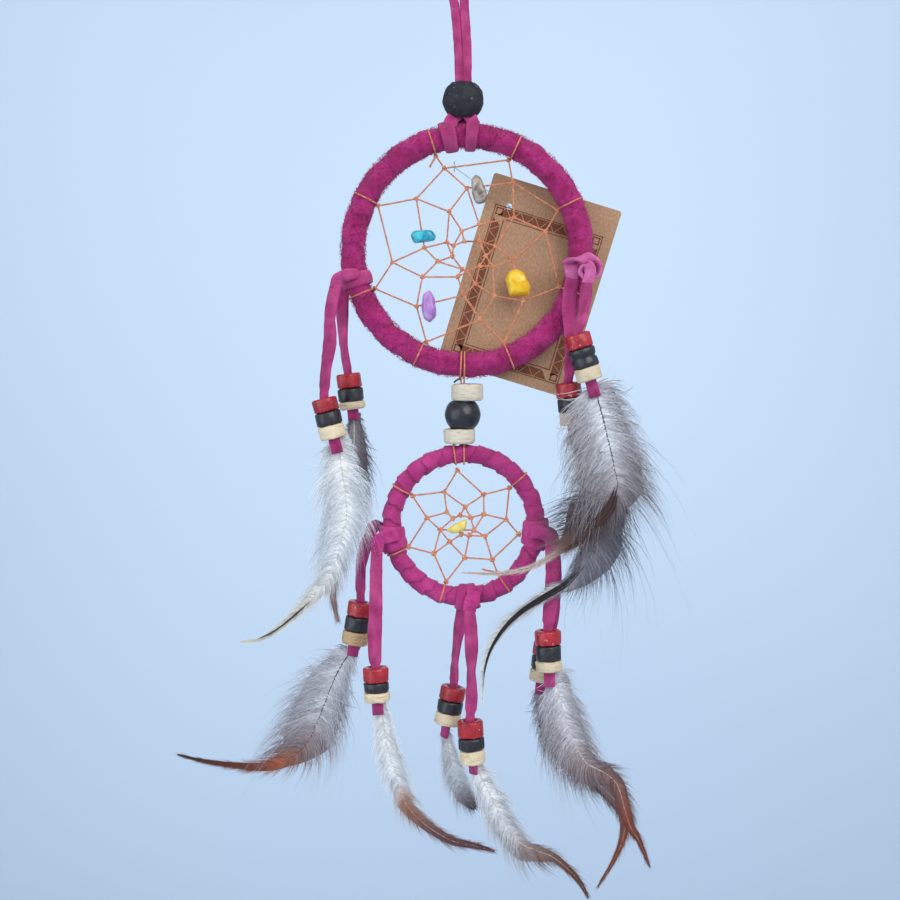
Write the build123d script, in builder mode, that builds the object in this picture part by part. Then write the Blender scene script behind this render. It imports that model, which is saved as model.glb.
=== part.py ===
from build123d import *
from math import atan2, cos, degrees, dist, radians, sin, tan
import os

# A dream catcher that hangs from a doubled suede lace: a large and a small suede-wrapped hoop, each
# with a knotted thread web, joined by three wooden beads, and ten suede tails with beads and feathers.
# Row frame: origin at the inside top of the hanging loop, X to the right, Y to the back, Z up.
# Every place below is given from the upper hoop's centre as (x, z), and at() puts it in the row frame.

UPPER_CENTRE = (4.3, -108.0)
UPPER_RING = 40.65  # radius of the tube's centre line
UPPER_TUBE = 4.35  # radius of the tube over its suede
UPPER_CORE = 2.8

LOWER_OFFSET = (-1.1, -98.4)  # from the upper hoop's centre to the lower one's
LOWER_RING = 26.0
LOWER_TUBE = 3.4
LOWER_CORE = 2.1

FIT_GAP = 0.05  # between pieces that touch in one body
MOVE_GAP = 0.3  # between pieces that move past each other
TURN_GAP = 0.5  # under the hanger's knot, where the hoop turns in it

THREAD = 0.35  # radius of the waxed thread
RUN_SIDE = 0.62  # side of a square run with the same section as the thread
UPPER_KNOT = 0.75
LOWER_KNOT = 0.85
WEB_KNOT_DEPTH = 1.3
WRAP_SUEDE = 1.3  # thickness of the suede in the knots

LACE_WIDTH = 3.4
LACE_THICK = 1.3
BEAD_RADIUS = 4.6
BEAD_BORE = 2.3
BEAD_GAP = 0.1
FEATHER_THICK = 0.6
QUILL_RADIUS = 0.45
QUILL_BACK = 1.7  # how far a quill lies behind its lace
QUILL_IN_BEAD = 3.0
QUILL_BELOW = 2.0

FRONT = Vector(0, -1, 0)


def at(place, y=0.0):
    """The row-frame point for a place given from the upper hoop's centre."""
    return Vector(UPPER_CENTRE[0] + place[0], y, UPPER_CENTRE[1] + place[1])


def from_lower(place):
    """A place given from the lower hoop's centre, as one from the upper hoop's centre."""
    return (LOWER_OFFSET[0] + place[0], LOWER_OFFSET[1] + place[1])


def front_plane(y, lean=0.0, pivot=(0.0, 0.0)):
    """A sketch plane that faces the front, with its lower part leaning forward from the pivot."""
    angle = radians(lean)
    return Plane(origin=at(pivot, y), x_dir=(1, 0, 0), z_dir=(0, -cos(angle), sin(angle)))


def save(part, label):
    part.label = label
    export_step(part, f"parts/{label}.step")


def bend_radii(points):
    """As large an arc at each corner as its shorter run allows."""
    radii = []
    for before, here, after in zip(points, points[1:], points[2:]):
        turn = (here - before).get_angle(after - here)
        shorter = min((here - before).length, (after - here).length)
        radii.append(0.45 * shorter / tan(radians(turn / 2)))
    return radii


def strip(label, points, width, thick, across):
    """A flat lace along straight runs and arcs, with its width along the direction given by across."""
    radii = bend_radii(points)
    with BuildPart() as lace:
        with BuildLine() as route:
            FilletPolyline(*points, radius=radii)
        start = Plane(origin=points[0], x_dir=across, z_dir=points[1] - points[0])
        with BuildSketch(start) as section:
            Rectangle(width, thick)
        sweep(path=route.wires()[0])
    expected = width * thick * route.wires()[0].length
    smallest = ", ".join(f"{radius:.0f}" for radius in radii)
    print(f"{label}: length {route.wires()[0].length:.1f}, volume {lace.part.volume:.0f}", end=" ")
    print(f"of {expected:.0f}, radii {smallest}")
    save(lace.part, label)


def rod(start, end, radius):
    """A straight round run from start to end, for the threads and the pins."""
    length = (end - start).length
    run = Plane(origin=start, z_dir=end - start)
    low_end = (Align.CENTER, Align.CENTER, Align.MIN)
    return run * Cylinder(radius, length, align=low_end, mode=Mode.PRIVATE)


def ball(place, radius):
    return Pos(place) * Sphere(radius, mode=Mode.PRIVATE)


def ring_of_thread(plane, ring_radius):
    """A closed turn of thread in a plane."""
    return Location(plane) * Torus(ring_radius, THREAD, mode=Mode.PRIVATE)


def tube_point(centre, ring, angle):
    """The centre of a hoop's tube at an angle from +X towards +Z."""
    turn = radians(angle)
    return Vector(centre.X + ring * cos(turn), centre.Y, centre.Z + ring * sin(turn))


def tube_plane(centre, ring, angle):
    """The plane across a hoop's tube at an angle."""
    turn = radians(angle)
    return Plane(
        origin=tube_point(centre, ring, angle),
        x_dir=(cos(turn), 0, sin(turn)),
        z_dir=(-sin(turn), 0, cos(turn)),
    )


os.makedirs("parts", exist_ok=True)
upper = at((0, 0))
lower = at(LOWER_OFFSET)


# Hoops: a round cane ring inside a suede strip wound over it


def hoop(label, centre, ring, core_radius, tube_radius):
    axis = Axis(centre, FRONT)
    with BuildPart() as core:
        with BuildSketch(tube_plane(centre, ring, 0)):
            Circle(core_radius)
        revolve(axis=axis)
    save(core.part, f"{label}_hoop_core")
    with BuildPart() as wrap:
        with BuildSketch(tube_plane(centre, ring, 0)):
            Circle(tube_radius)
            Circle(core_radius + FIT_GAP, mode=Mode.SUBTRACT)
        revolve(axis=axis)
    save(wrap.part, f"{label}_hoop_wrap")


hoop("upper", upper, UPPER_RING, UPPER_CORE, UPPER_TUBE)
hoop("lower", lower, LOWER_RING, LOWER_CORE, LOWER_TUBE)


# Webs: rows of knots, each tied to the middle of a run of the row outside it

UPPER_ROWS = {
    "a": [(-11.1, 33.6), (14.7, 32.2), (32.3, 14.4), (33.0, -12.7)]
    + [(13.3, -32.6), (-14.5, -32.3), (-32.8, -13.3), (-31.6, 16.0)],
    "b": [(-8.0, 29.3), (16.3, 24.3), (28.0, 7.0), (20.2, -17.6)]
    + [(4.7, -24.3), (-18.0, -19.6), (-26.6, -3.9), (-18.0, 18.6)],
    "c": [(0.0, 22.3), (16.7, 12.0), (16.3, -3.3), (9.7, -15.9)]
    + [(-1.2, -15.6), (-15.9, -9.1), (-15.2, 1.2), (-6.3, 14.0)],
    "d": [(4.4, 9.5), (10.3, 1.9), (9.2, -5.4), (3.0, -11.6)]
    + [(-3.3, -9.1), (-10.4, -3.6), (-7.2, 3.2), (-1.8, 7.2)],
    "e": [(4.4, 3.5), (6.7, -1.7), (4.5, -5.2), (0.1, -7.2)]
    + [(-1.8, -6.3), (-5.2, -1.8), (-4.8, 2.0), (-1.0, 3.5)],
}
UPPER_THREAD_TURNS = (108.0, 64.5, 24.8, -21.0, -68.0, -115.3, 201.8, 152.6)

LOWER_KNOTS = {
    "a0": (-2.3, 19.9), "a1": (16.4, 13.6), "a2": (19.9, -3.2), "a3": (12.4, -17.6),
    "a4": (-6.3, -20.5), "a5": (-20.0, -7.8), "a6": (-18.5, 10.8),
    "b0": (7.2, 11.2), "b1": (15.3, 2.2), "b2": (10.3, -12.4), "b3": (0.4, -11.7),
    "b4": (-10.8, -10.2), "b5": (-13.3, 2.8), "b6": (-7.0, 12.2),
    "c0": (0.5, 6.7), "c1": (7.3, 4.1), "c2": (7.7, -3.9), "c3": (2.0, -3.6),
    "c4": (-5.1, -6.0), "c5": (-8.5, -1.6), "c6": (-6.1, 4.8),
    "d0": (2.5, 2.9), "d1": (3.8, -1.7), "d2": (-1.3, 3.7), "d3": (-3.8, 2.6), "e0": (-0.9, -3.2),
}
LOWER_RUNS = (
    "a0b0 b0a1 a1b1 b1a2 a2b2 b2a3 b2b3 b3a4 a4b4 b4a5 a5b5 b5a6 a6b6 b6a0 "
    "b0c1 c1b1 b1c2 c2b2 c3b3 b3c4 c4b4 b4c5 c5b5 b5c6 c6b6 b6c0 c0b0 "
    "c2c3 c0d0 d0c1 c1d1 d1c2 d1c3 c3e0 e0c4 c4c5 c5d3 d3c6 d3d2 d2c0 d0d1 d2d0 c5d1"
)
LOWER_THREAD_TURNS = (40.2, -55.0, -107.5, 201.6, 149.7)


def upper_knots_and_runs():
    """The upper web's knots, and its runs, which zigzag between each row and the next one in and
    close in a ring round the middle."""
    rows = list(UPPER_ROWS.values())
    knots = [place for row in rows for place in row]
    runs = []
    for outer, inner in zip(rows, rows[1:]):
        for i, place in enumerate(inner):
            runs.append((outer[i], place))
            last = i == len(inner) - 1
            runs.append((place, inner[0] if last else outer[i + 1]))
    inmost = rows[-1]
    runs += zip(inmost, inmost[1:] + inmost[:1])
    return knots, runs


def lower_knots_and_runs():
    named = {name: from_lower(place) for name, place in LOWER_KNOTS.items()}
    runs = [(named[run[:2]], named[run[2:]]) for run in LOWER_RUNS.split()]
    return list(named.values()), runs


def web(label, knots, runs, knot_radius, centre, ring, tube, turns):
    """Thread runs of a square section, a short round post for each knot, and the turns of thread
    round the hoop."""
    rings = []
    for angle in turns:
        rings.append(ring_of_thread(tube_plane(centre, ring, angle), tube + THREAD + FIT_GAP / 2))
    with BuildPart() as net:
        with BuildSketch(front_plane(0.0)):
            for (x1, z1), (x2, z2) in runs:
                middle = ((x1 + x2) / 2, (z1 + z2) / 2, 0)
                slope = degrees(atan2(z2 - z1, x2 - x1))
                with Locations(Location(middle, (0, 0, slope))):
                    Rectangle(dist((x1, z1), (x2, z2)), RUN_SIDE)
        extrude(amount=RUN_SIDE / 2, both=True)
        for place in knots:
            with BuildSketch(front_plane(-WEB_KNOT_DEPTH / 2, pivot=place)):
                Circle(knot_radius)
            extrude(amount=-WEB_KNOT_DEPTH)
        add(rings)
    print(f"{label}: solids {len(net.part.solids())}, volume {net.part.volume:.0f}")
    save(net.part, label)


web("upper_web", *upper_knots_and_runs(), UPPER_KNOT, upper, UPPER_RING, UPPER_TUBE, UPPER_THREAD_TURNS)
web("lower_web", *lower_knots_and_runs(), LOWER_KNOT, lower, LOWER_RING, LOWER_TUBE, LOWER_THREAD_TURNS)


# Stones threaded on the webs: an outline, its depth, and the run of thread that it is bored for

STONE_BORE = 0.5
STONE_EDGE = 0.7
STONES = {
    "stone_grey": (
        [(1.7, 25.0), (3.0, 27.0), (4.8, 26.2), (7.3, 20.0), (6.8, 17.2), (3.2, 17.0), (1.6, 20.6)],
        5.0, (0.0, 22.3), (16.3, 24.3),
    ),
    "stone_turquoise": (
        [(-20.1, 5.6), (-18.4, 7.2), (-13.0, 7.4), (-11.0, 5.4), (-11.8, 3.7), (-18.8, 2.8)],
        4.6, (-18.0, 18.6), (-15.2, 1.2),
    ),
    "stone_yellow": (
        [(14.6, -7.4), (17.6, -6.4), (20.6, -8.0), (22.6, -12.6), (21.8, -15.6), (15.6, -16.0),
         (14.0, -11.0)],
        6.0, (16.3, -3.3), (20.2, -17.6),
    ),
    "stone_lilac": (
        [(-15.6, -15.2), (-13.2, -14.0), (-11.4, -17.0), (-11.0, -23.0), (-13.2, -25.4), (-15.4, -24.0),
         (-16.2, -19.0)],
        5.0, (-1.2, -15.6), (-18.0, -19.6),
    ),
    "stone_cream": (
        [from_lower(place) for place in
         [(-6.3, -1.7), (-1.0, 1.7), (1.1, 2.0), (1.2, -0.6), (-0.9, -2.3), (-4.0, -3.1)]],
        3.6, from_lower((-8.5, -1.6)), from_lower((3.8, -1.7)),
    ),
}


def stone(label, outline, depth, run_start, run_end):
    bore = rod(at(run_start), at(run_end), STONE_BORE)
    with BuildPart() as chip:
        with BuildSketch(front_plane(0.0)):
            with BuildLine():
                Polyline(*outline, close=True)
            make_face()
        extrude(amount=depth / 2, both=True)
        chamfer(chip.edges().filter_by(Plane.XZ), STONE_EDGE)
        add(bore, mode=Mode.SUBTRACT)
    save(chip.part, label)


for name, (outline, depth, run_start, run_end) in STONES.items():
    stone(name, outline, depth, run_start, run_end)


# Hanger: a doubled lace with a loop at its top, a black bead, and a lark's head on the upper hoop

HANGER_BEAD_AT = (-1.4, 53.0)
HANGER_BEAD_RADIUS = 7.25
HANGER_BEAD_HEIGHT = 12.4
HANGER_BORE = 3.5
HANGER_WIDTH = 2.7
HANGER_THICK = 1.7
HANGER_ROUTE = [
    (-2.7, 58.2), (-2.9, 68.0), (-3.5, 78.0), (-4.5, 88.0), (-7.3, 96.0), (-8.6, 102.8), (-7.6, 107.5),
    (-4.3, 109.5), (-1.0, 107.5), (0.0, 102.8), (-0.5, 96.0), (-1.2, 88.0), (-0.4, 78.0), (0.2, 68.0),
    (0.0, 58.2),
]
HANGER_LEGS = ((101.4, 97.0), (91.6, 85.6))  # each leg's start and end angle on the upper hoop

strip("hanger_lace", [at(p) for p in HANGER_ROUTE], HANGER_WIDTH, HANGER_THICK, (1, 0, 0))

with BuildPart() as hanger_bead:
    with Locations(at(HANGER_BEAD_AT)):
        Sphere(HANGER_BEAD_RADIUS)
        Box(30, 30, HANGER_BEAD_HEIGHT, mode=Mode.INTERSECT)
        Cylinder(HANGER_BORE, 2 * HANGER_BEAD_RADIUS, mode=Mode.SUBTRACT)
save(hanger_bead.part, "hanger_bead")

KNOT_SUEDE = 1.15  # thickness of each leg
KNOT_STEM = 2.6
KNOT_STEM_BOTTOM = 45.5
KNOT_STEM_TOP = 50.0
KNOT_THROAT = (10.6, 4.6, 0.9)

with BuildPart() as hanger_knot:
    for first, last in HANGER_LEGS:
        with BuildSketch(tube_plane(upper, UPPER_RING, last)):
            Circle(UPPER_TUBE + TURN_GAP + KNOT_SUEDE)
            Circle(UPPER_TUBE + TURN_GAP, mode=Mode.SUBTRACT)
        revolve(axis=Axis(upper, FRONT), revolution_arc=first - last)
    # the throat of the knot joins both legs above the hoop and goes up into the bead
    with BuildSketch(Plane(origin=at((-1.6, KNOT_STEM_BOTTOM)))):
        RectangleRounded(KNOT_THROAT[0], KNOT_THROAT[1], 1.5)
    extrude(amount=KNOT_THROAT[2])
    with BuildSketch(Plane(origin=at((HANGER_BEAD_AT[0], KNOT_STEM_BOTTOM)))):
        Circle(KNOT_STEM)
    extrude(amount=KNOT_STEM_TOP - KNOT_STEM_BOTTOM)
save(hanger_knot.part, "hanger_knot")


# Knots of the tails: a band of suede round the hoop, and the folds that the tails come out of.
# A fold is its left and right x, its bottom and top z, and the y where it starts and ends.

KNOTS = {
    "knot_upper_left": (upper, UPPER_RING, UPPER_TUBE, 194.5, 4.0, [
        (-48.4, -38.2, -11.4, -6.8, -5.2, -7.3), (-47.4, -38.2, -11.4, -6.8, 5.2, 7.3)]),
    "knot_upper_right": (upper, UPPER_RING, UPPER_TUBE, -8.2, 3.9, [
        (39.7, 44.2, -10.3, -5.2, -4.9, -13.5), (35.0, 39.2, -8.5, -4.8, -4.75, -6.8)]),
    "knot_lower_left": (lower, LOWER_RING, LOWER_TUBE, 190.0, 9.0, [
        (-34.6, -26.4, -104.5, -100.2, -4.2, -6.4), (-37.4, -26.4, -101.5, -98.0, 4.2, 6.4)]),
    "knot_lower_bottom": (lower, LOWER_RING, LOWER_TUBE, -87.4, 7.9, [
        (-1.9, 3.9, -127.2, -122.4, -4.2, -6.4), (-4.0, 1.8, -127.2, -122.4, 4.2, 6.4)]),
    "knot_lower_right": (lower, LOWER_RING, LOWER_TUBE, -6.4, 11.4, [
        (24.0, 33.2, -104.9, -99.8, -4.2, -6.4), (24.0, 34.2, -104.9, -99.8, 4.2, 6.4)]),
}
FOLD_ROUND = 0.9


def knot(label, centre, ring, tube, angle, half, folds):
    with BuildPart() as band:
        with BuildSketch(tube_plane(centre, ring, angle - half)):
            Circle(tube + FIT_GAP + WRAP_SUEDE)
            Circle(tube + FIT_GAP, mode=Mode.SUBTRACT)
        revolve(axis=Axis(centre, FRONT), revolution_arc=2 * half)
        for left, right, bottom, top, near, far in folds:
            with BuildSketch(front_plane(near, pivot=((left + right) / 2, (bottom + top) / 2))):
                RectangleRounded(right - left, top - bottom, FOLD_ROUND)
            extrude(amount=near - far)
    save(band.part, label)


for name, values in KNOTS.items():
    knot(name, *values)


# Link between the hoops: two turns of thread on each hoop and a thread through three beads

LINK_THREAD = 0.55
LINK_TOP = (-1.5, -46.4)
LINK_BOTTOM = (-2.7, -67.9)
LINK_KNOT = 0.8
LINK_TURNS_AT = 0.75  # half the space between the two turns
LINK_DISCS = {"link_disc_top": ((0.1, -50.3), 6.0), "link_disc_bottom": ((-2.7, -66.05), 5.3)}
LINK_DISC_RADIUS = 5.75
LINK_DISC_BORE = 2.75
LINK_BEAD_AT = (-1.5, -58.35)
LINK_BEAD_RADIUS = 6.5
LINK_BEAD_HEIGHT = 9.9
LINK_BEAD_BORE = 1.9


def thread_turns(place, tube_height, tube):
    """Two turns of thread round a hoop's tube, side by side, with room for the hoop to turn in them."""
    turns = []
    for side in (-LINK_TURNS_AT, LINK_TURNS_AT):
        across = Plane(origin=at((place[0] + side, tube_height)), z_dir=(1, 0, 0))
        turns.append(ring_of_thread(across, tube + MOVE_GAP + THREAD))
    return turns


link_pieces = thread_turns(LINK_TOP, -UPPER_RING, UPPER_TUBE)
link_pieces += thread_turns(LINK_BOTTOM, LOWER_OFFSET[1] + LOWER_RING, LOWER_TUBE)
link_pieces += [ball(at(end), LINK_KNOT) for end in (LINK_TOP, LINK_BOTTOM)]
link_pieces.append(rod(at(LINK_TOP), at(LINK_BOTTOM), LINK_THREAD))
with BuildPart() as link_thread:
    add(link_pieces)
save(link_thread.part, "link_thread")

for name, (place, height) in LINK_DISCS.items():
    with BuildPart() as disc:
        with Locations(at(place)):
            Cylinder(LINK_DISC_RADIUS, height)
            Cylinder(LINK_DISC_BORE, height, mode=Mode.SUBTRACT)
        fillet(disc.edges().group_by(SortBy.LENGTH)[-1], 1.1)
    save(disc.part, name)

with BuildPart() as link_bead_black:
    with Locations(at(LINK_BEAD_AT)):
        Sphere(LINK_BEAD_RADIUS)
        Box(30, 30, LINK_BEAD_HEIGHT, mode=Mode.INTERSECT)
        Cylinder(LINK_BEAD_BORE, 2 * LINK_BEAD_RADIUS, mode=Mode.SUBTRACT)
save(link_bead_black.part, "link_bead_black")


# Card tag behind the upper hoop, on a plastic pin that hangs from the web

TAG_CENTRE = (22.6, -12.1)
TAG_TURN = -17.0
TAG_WIDTH = 48.0
TAG_HEIGHT = 70.0
TAG_THICK = 0.4
TAG_FRONT = 6.1
TAG_HOLE = (-15.3, 24.9)  # from the card's centre, along its own edges
TAG_HOLE_RADIUS = 1.1
PIN_RADIUS = 0.35
PIN_RING_AT = (-4.5, 29.8)
PIN_RING_RADIUS = 1.7
PIN_BAR = 9.0

along = Vector(cos(radians(TAG_TURN)), 0, sin(radians(TAG_TURN)))
card = Plane(origin=at(TAG_CENTRE, TAG_FRONT), x_dir=along, z_dir=FRONT)
with BuildPart() as tag_card:
    with BuildSketch(card):
        RectangleRounded(TAG_WIDTH, TAG_HEIGHT, 1.0)
        with Locations(TAG_HOLE):
            Circle(TAG_HOLE_RADIUS, mode=Mode.SUBTRACT)
    extrude(amount=-TAG_THICK)
save(tag_card.part, "tag_card")

hole = card.from_local_coords((*TAG_HOLE, 0.0))
ring_place = at(PIN_RING_AT)
pin_route = [
    ring_place + Vector(0, PIN_RING_RADIUS, 0),
    ring_place + Vector(2.6, 4.6, -1.6),
    hole + Vector(-2.6, -1.5, 1.8),
    hole + Vector(0, -0.6, 0),
    hole + Vector(0, 0.7, 0),
]
bar_middle = hole + Vector(0, TAG_THICK + PIN_RADIUS + FIT_GAP, 0)
half_bar = card.x_dir * PIN_BAR / 2
pin_pieces = [rod(start, end, PIN_RADIUS) for start, end in zip(pin_route, pin_route[1:])]
pin_pieces += [ball(point, PIN_RADIUS) for point in pin_route[1:-1]]
pin_pieces.append(rod(bar_middle - half_bar, bar_middle + half_bar, PIN_RADIUS))
pin_pieces.append(ring_of_thread(Plane(origin=ring_place, z_dir=(1, 0, 0)), PIN_RING_RADIUS))
with BuildPart() as tag_pin:
    add(pin_pieces)
print(f"tag_pin: solids {len(tag_pin.part.solids())}")
save(tag_pin.part, "tag_pin")


# Tails: each hangs in a plane of its own depth. Its lace goes down to the top of its beads and
# through them, and the quill of its feather is tucked into the lowest bead behind the lace.
# A tail is its depth, its lace's places down to the beads' top, how far the beads lean to the right
# in degrees, their three heights, and how far the cut tip of the lace stands out below them.

TAILS = {
    "upper_left_back": (6.65, [(-45.1, -12.5), (-45.0, -22.3), (-44.8, -33.0), (-43.0, -43.8)],
                        7.0, (5.2, 4.8, 2.8), 4.0),
    "upper_left_front": (-6.65, [(-46.4, -12.5), (-48.9, -21.6), (-48.2, -31.0), (-50.1, -41.6),
                                 (-50.9, -52.2)], 14.0, (4.8, 4.8, 4.8), 5.5),
    "upper_right_front": (-12.8, [(41.8, -11.5), (41.2, -20.5), (38.35, -29.3)],
                          16.7, (5.2, 6.8, 4.7), 6.3),
    "upper_right_back": (-6.1, [(37.2, -9.7), (35.4, -18.7), (37.0, -28.4), (37.2, -38.0), (35.7, -46.7)],
                         8.0, (5.2, 5.0, 4.5), 5.0),
    "lower_left_back": (5.7, [(-35.2, -102.6), (-38.3, -110.0), (-38.9, -118.5), (-38.7, -127.2)],
                        -9.0, (5.4, 5.4, 4.8), 4.6),
    "lower_left_front": (-5.7, [(-32.2, -105.6), (-32.7, -117.0), (-32.6, -128.0), (-33.3, -139.0),
                                (-32.9, -149.1)], 3.0, (5.2, 3.6, 3.4), 5.0),
    "bottom_back": (5.7, [(-1.2, -128.3), (-2.9, -138.5), (-4.3, -148.5), (-4.6, -158.6)],
                    -11.0, (5.2, 4.6, 4.4), 5.0),
    "bottom_front": (-5.7, [(0.9, -128.3), (1.8, -138.5), (1.5, -148.5), (1.9, -158.5), (1.1, -168.5)],
                     4.0, (6.0, 4.6, 5.0), 4.0),
    "lower_right_front": (-5.7, [(30.6, -106.0), (31.1, -116.0), (29.9, -126.0), (29.0, -135.6)],
                          2.6, (5.2, 5.6, 3.8), 6.0),
    "lower_right_back": (5.7, [(31.4, -106.0), (32.5, -115.0), (32.0, -124.5), (31.9, -133.5),
                               (29.1, -142.0)], -6.0, (5.0, 5.0, 4.5), 5.0),
}

# A feather is its left edge and its right edge, from the quill down, its tip, and how far in degrees
# it leans forward from its quill.
FEATHERS = {
    "upper_left_back": ([(-47.0, -68.0), (-50.5, -88.0), (-53.0, -108.0), (-51.5, -123.0)],
                        [(-33.0, -70.0), (-36.5, -86.0), (-42.6, -100.0), (-44.8, -110.0), (-47.0, -124.0)],
                        (-47.4, -135.0), 0.0),
    "upper_left_front": ([(-57.0, -76.0), (-57.0, -92.0), (-51.5, -108.0), (-53.5, -117.0), (-62.0, -128.6),
                          (-73.0, -137.2)], [(-35.5, -76.0), (-33.5, -92.0), (-40.5, -108.0),
                                             (-47.5, -120.5), (-60.5, -131.4), (-73.0, -139.8)],
                         (-81.1, -140.0), 0.0),
    "upper_right_front": ([(34.0, -56.0), (31.0, -75.0), (30.7, -92.9), (32.4, -101.5), (22.0, -109.4),
                           (8.0, -112.6)], [(54.0, -54.0), (67.4, -71.0), (61.0, -85.0), (55.0, -92.5),
                                            (42.0, -102.6), (22.0, -112.4), (8.0, -114.4)],
                          (-1.7, -113.2), 5.0),
    "upper_right_back": ([(33.0, -70.0), (35.0, -88.0), (38.0, -104.0), (35.0, -115.8), (22.0, -125.2),
                          (9.0, -137.4)], [(50.0, -71.0), (61.6, -90.7), (62.4, -99.7), (52.0, -110.0),
                                           (38.0, -118.6), (24.0, -127.2), (11.4, -138.6)],
                         (5.5, -160.6), 6.0),
    "lower_left_back": ([(-60.0, -148.5), (-68.0, -161.0), (-71.5, -171.0), (-71.0, -181.0), (-78.0, -187.4),
                         (-92.0, -186.6)], [(-37.0, -151.0), (-36.3, -161.3), (-40.0, -170.0),
                                            (-54.3, -183.5), (-65.0, -189.4), (-78.0, -191.2),
                                            (-92.0, -189.4)], (-106.5, -184.7), 0.0),
    "lower_left_front": ([(-36.0, -172.0), (-33.0, -187.0), (-28.5, -199.0), (-17.0, -209.0),
                          (-5.0, -215.4)], [(-26.5, -172.0), (-21.5, -187.0), (-18.0, -199.0),
                                            (-11.5, -205.5), (-3.0, -211.8)],
                         (8.0, -216.8), 0.0),
    "bottom_back": ([(-12.0, -184.0), (-9.0, -195.0)], [(-1.0, -186.0), (3.0, -197.0)],
                    (3.0, -205.2), 0.0),
    "bottom_front": ([(-1.5, -194.0), (3.5, -207.0), (12.0, -219.0), (17.0, -225.0), (23.0, -221.8),
                      (31.0, -222.2), (38.0, -228.0)], [(10.0, -189.0), (16.0, -198.0), (22.4, -210.6),
                                                       (31.0, -217.0), (40.0, -225.2)],
                     (44.4, -234.7), 0.0),
    "lower_right_front": ([(23.5, -162.0), (25.0, -173.0), (32.0, -187.0), (43.0, -193.0), (52.0, -198.0),
                           (57.0, -208.5)], [(38.5, -156.0), (42.5, -166.0), (47.6, -178.9), (54.0, -187.9),
                                             (60.5, -197.0), (63.0, -208.0)], (66.7, -223.2), 0.0),
    "lower_right_back": ([(20.0, -168.0), (24.0, -179.0), (34.0, -191.5), (47.0, -200.5), (54.6, -210.5),
                          (53.4, -221.0)], [(34.0, -164.0), (40.0, -178.0), (51.0, -193.0), (60.0, -203.5),
                                            (60.6, -213.0), (56.8, -223.0)], (49.0, -234.7), 0.0),
}


def beads(label, top, down, heights):
    """Three ring beads, one below the other, each with rounded edges."""
    rings = []
    start = top
    for height in heights:
        with BuildPart() as ring:
            with BuildSketch(Plane(origin=start, z_dir=down)):
                Circle(BEAD_RADIUS)
                Circle(BEAD_BORE, mode=Mode.SUBTRACT)
            extrude(amount=height)
            fillet(ring.edges().filter_by(GeomType.CIRCLE).group_by(SortBy.RADIUS)[-1], 0.8)
        rings.append(ring.part)
        start += down * (height + BEAD_GAP)
    with BuildPart() as stack:
        add(rings)
    save(stack.part, f"beads_{label}")


def feather(label, root, down, left, right, tip, lean):
    """A flat vane with a curved outline, and the quill that goes up into the lowest bead."""
    plane = front_plane(root.Y, lean, pivot=(root.X - UPPER_CENTRE[0], root.Z - UPPER_CENTRE[1]))
    stretch = 1 / cos(radians(lean))
    quill = rod(root - down * QUILL_IN_BEAD, root + down * QUILL_BELOW, QUILL_RADIUS)

    def local(place):
        point = at(place)
        return (point.X - root.X, (point.Z - root.Z) * stretch)

    with BuildPart() as vane:
        with BuildSketch(plane):
            with BuildLine():
                Spline((-QUILL_RADIUS, 0), *[local(p) for p in left], local(tip))
                Spline((QUILL_RADIUS, 0), *[local(p) for p in right], local(tip))
                Line((-QUILL_RADIUS, 0), (QUILL_RADIUS, 0))
            make_face()
        extrude(amount=FEATHER_THICK / 2, both=True)
        add(quill)
    save(vane.part, f"feather_{label}")


for label, (depth, places, lean_right, heights, tip_length) in TAILS.items():
    down = Vector(sin(radians(lean_right)), 0, -cos(radians(lean_right)))
    top = at(places[-1], depth)
    stack_height = sum(heights) + 2 * BEAD_GAP
    route = [at(place, depth) for place in places] + [top + down * (stack_height + tip_length)]
    strip(f"lace_{label}", route, LACE_WIDTH, LACE_THICK, (1, 0, 0))
    beads(label, top, down, heights)
    root = top + down * (stack_height + 0.5) + Vector(0, QUILL_BACK, 0)
    feather(label, root, down, *FEATHERS[label])
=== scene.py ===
import random
from collections import namedtuple
from math import atan2, ceil, cos, exp, floor, pi, radians, sin

import bpy
from mathutils import Matrix, Vector, noise


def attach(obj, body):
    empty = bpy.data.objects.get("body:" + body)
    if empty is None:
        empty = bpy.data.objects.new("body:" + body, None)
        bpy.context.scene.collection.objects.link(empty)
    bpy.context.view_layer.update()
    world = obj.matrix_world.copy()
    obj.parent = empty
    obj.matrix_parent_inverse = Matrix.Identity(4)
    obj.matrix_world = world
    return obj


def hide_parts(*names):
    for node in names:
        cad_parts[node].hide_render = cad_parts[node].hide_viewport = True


# The look of a suede-wrapped dream catcher. Shapes are in millimetres in the row frame, and mesh()
# makes them metres. place() takes x, z and a depth y from the upper hoop's centre, as part.py does.

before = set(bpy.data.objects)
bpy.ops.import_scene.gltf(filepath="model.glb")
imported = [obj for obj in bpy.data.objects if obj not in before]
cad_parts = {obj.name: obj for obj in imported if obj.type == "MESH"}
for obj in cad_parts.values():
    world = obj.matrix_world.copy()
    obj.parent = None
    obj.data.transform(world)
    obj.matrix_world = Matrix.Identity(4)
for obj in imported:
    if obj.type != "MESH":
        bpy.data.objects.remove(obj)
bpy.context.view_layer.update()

MM = 0.001
UPPER = Vector((4.3, 0.0, -108.0))
LOWER_X, LOWER_Z = -1.1, -98.4
LOWER = UPPER + Vector((LOWER_X, 0.0, LOWER_Z))
BACK = Vector((0, 1, 0))
UP = Vector((0, 0, 1))
THREAD = 0.35
Hoop = namedtuple("Hoop", "centre ring tube body")
UPPER_HOOP = Hoop(UPPER, 40.65, 4.35, "upper_hoop")
LOWER_HOOP = Hoop(LOWER, 26.0, 3.4, "lower_hoop")
rng = random.Random(7)


def place(x, z, y=0.0):
    return UPPER + Vector((x, y, z))


def mix(a, b, t):
    return tuple(p + (q - p) * t for p, q in zip(a, b))


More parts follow.
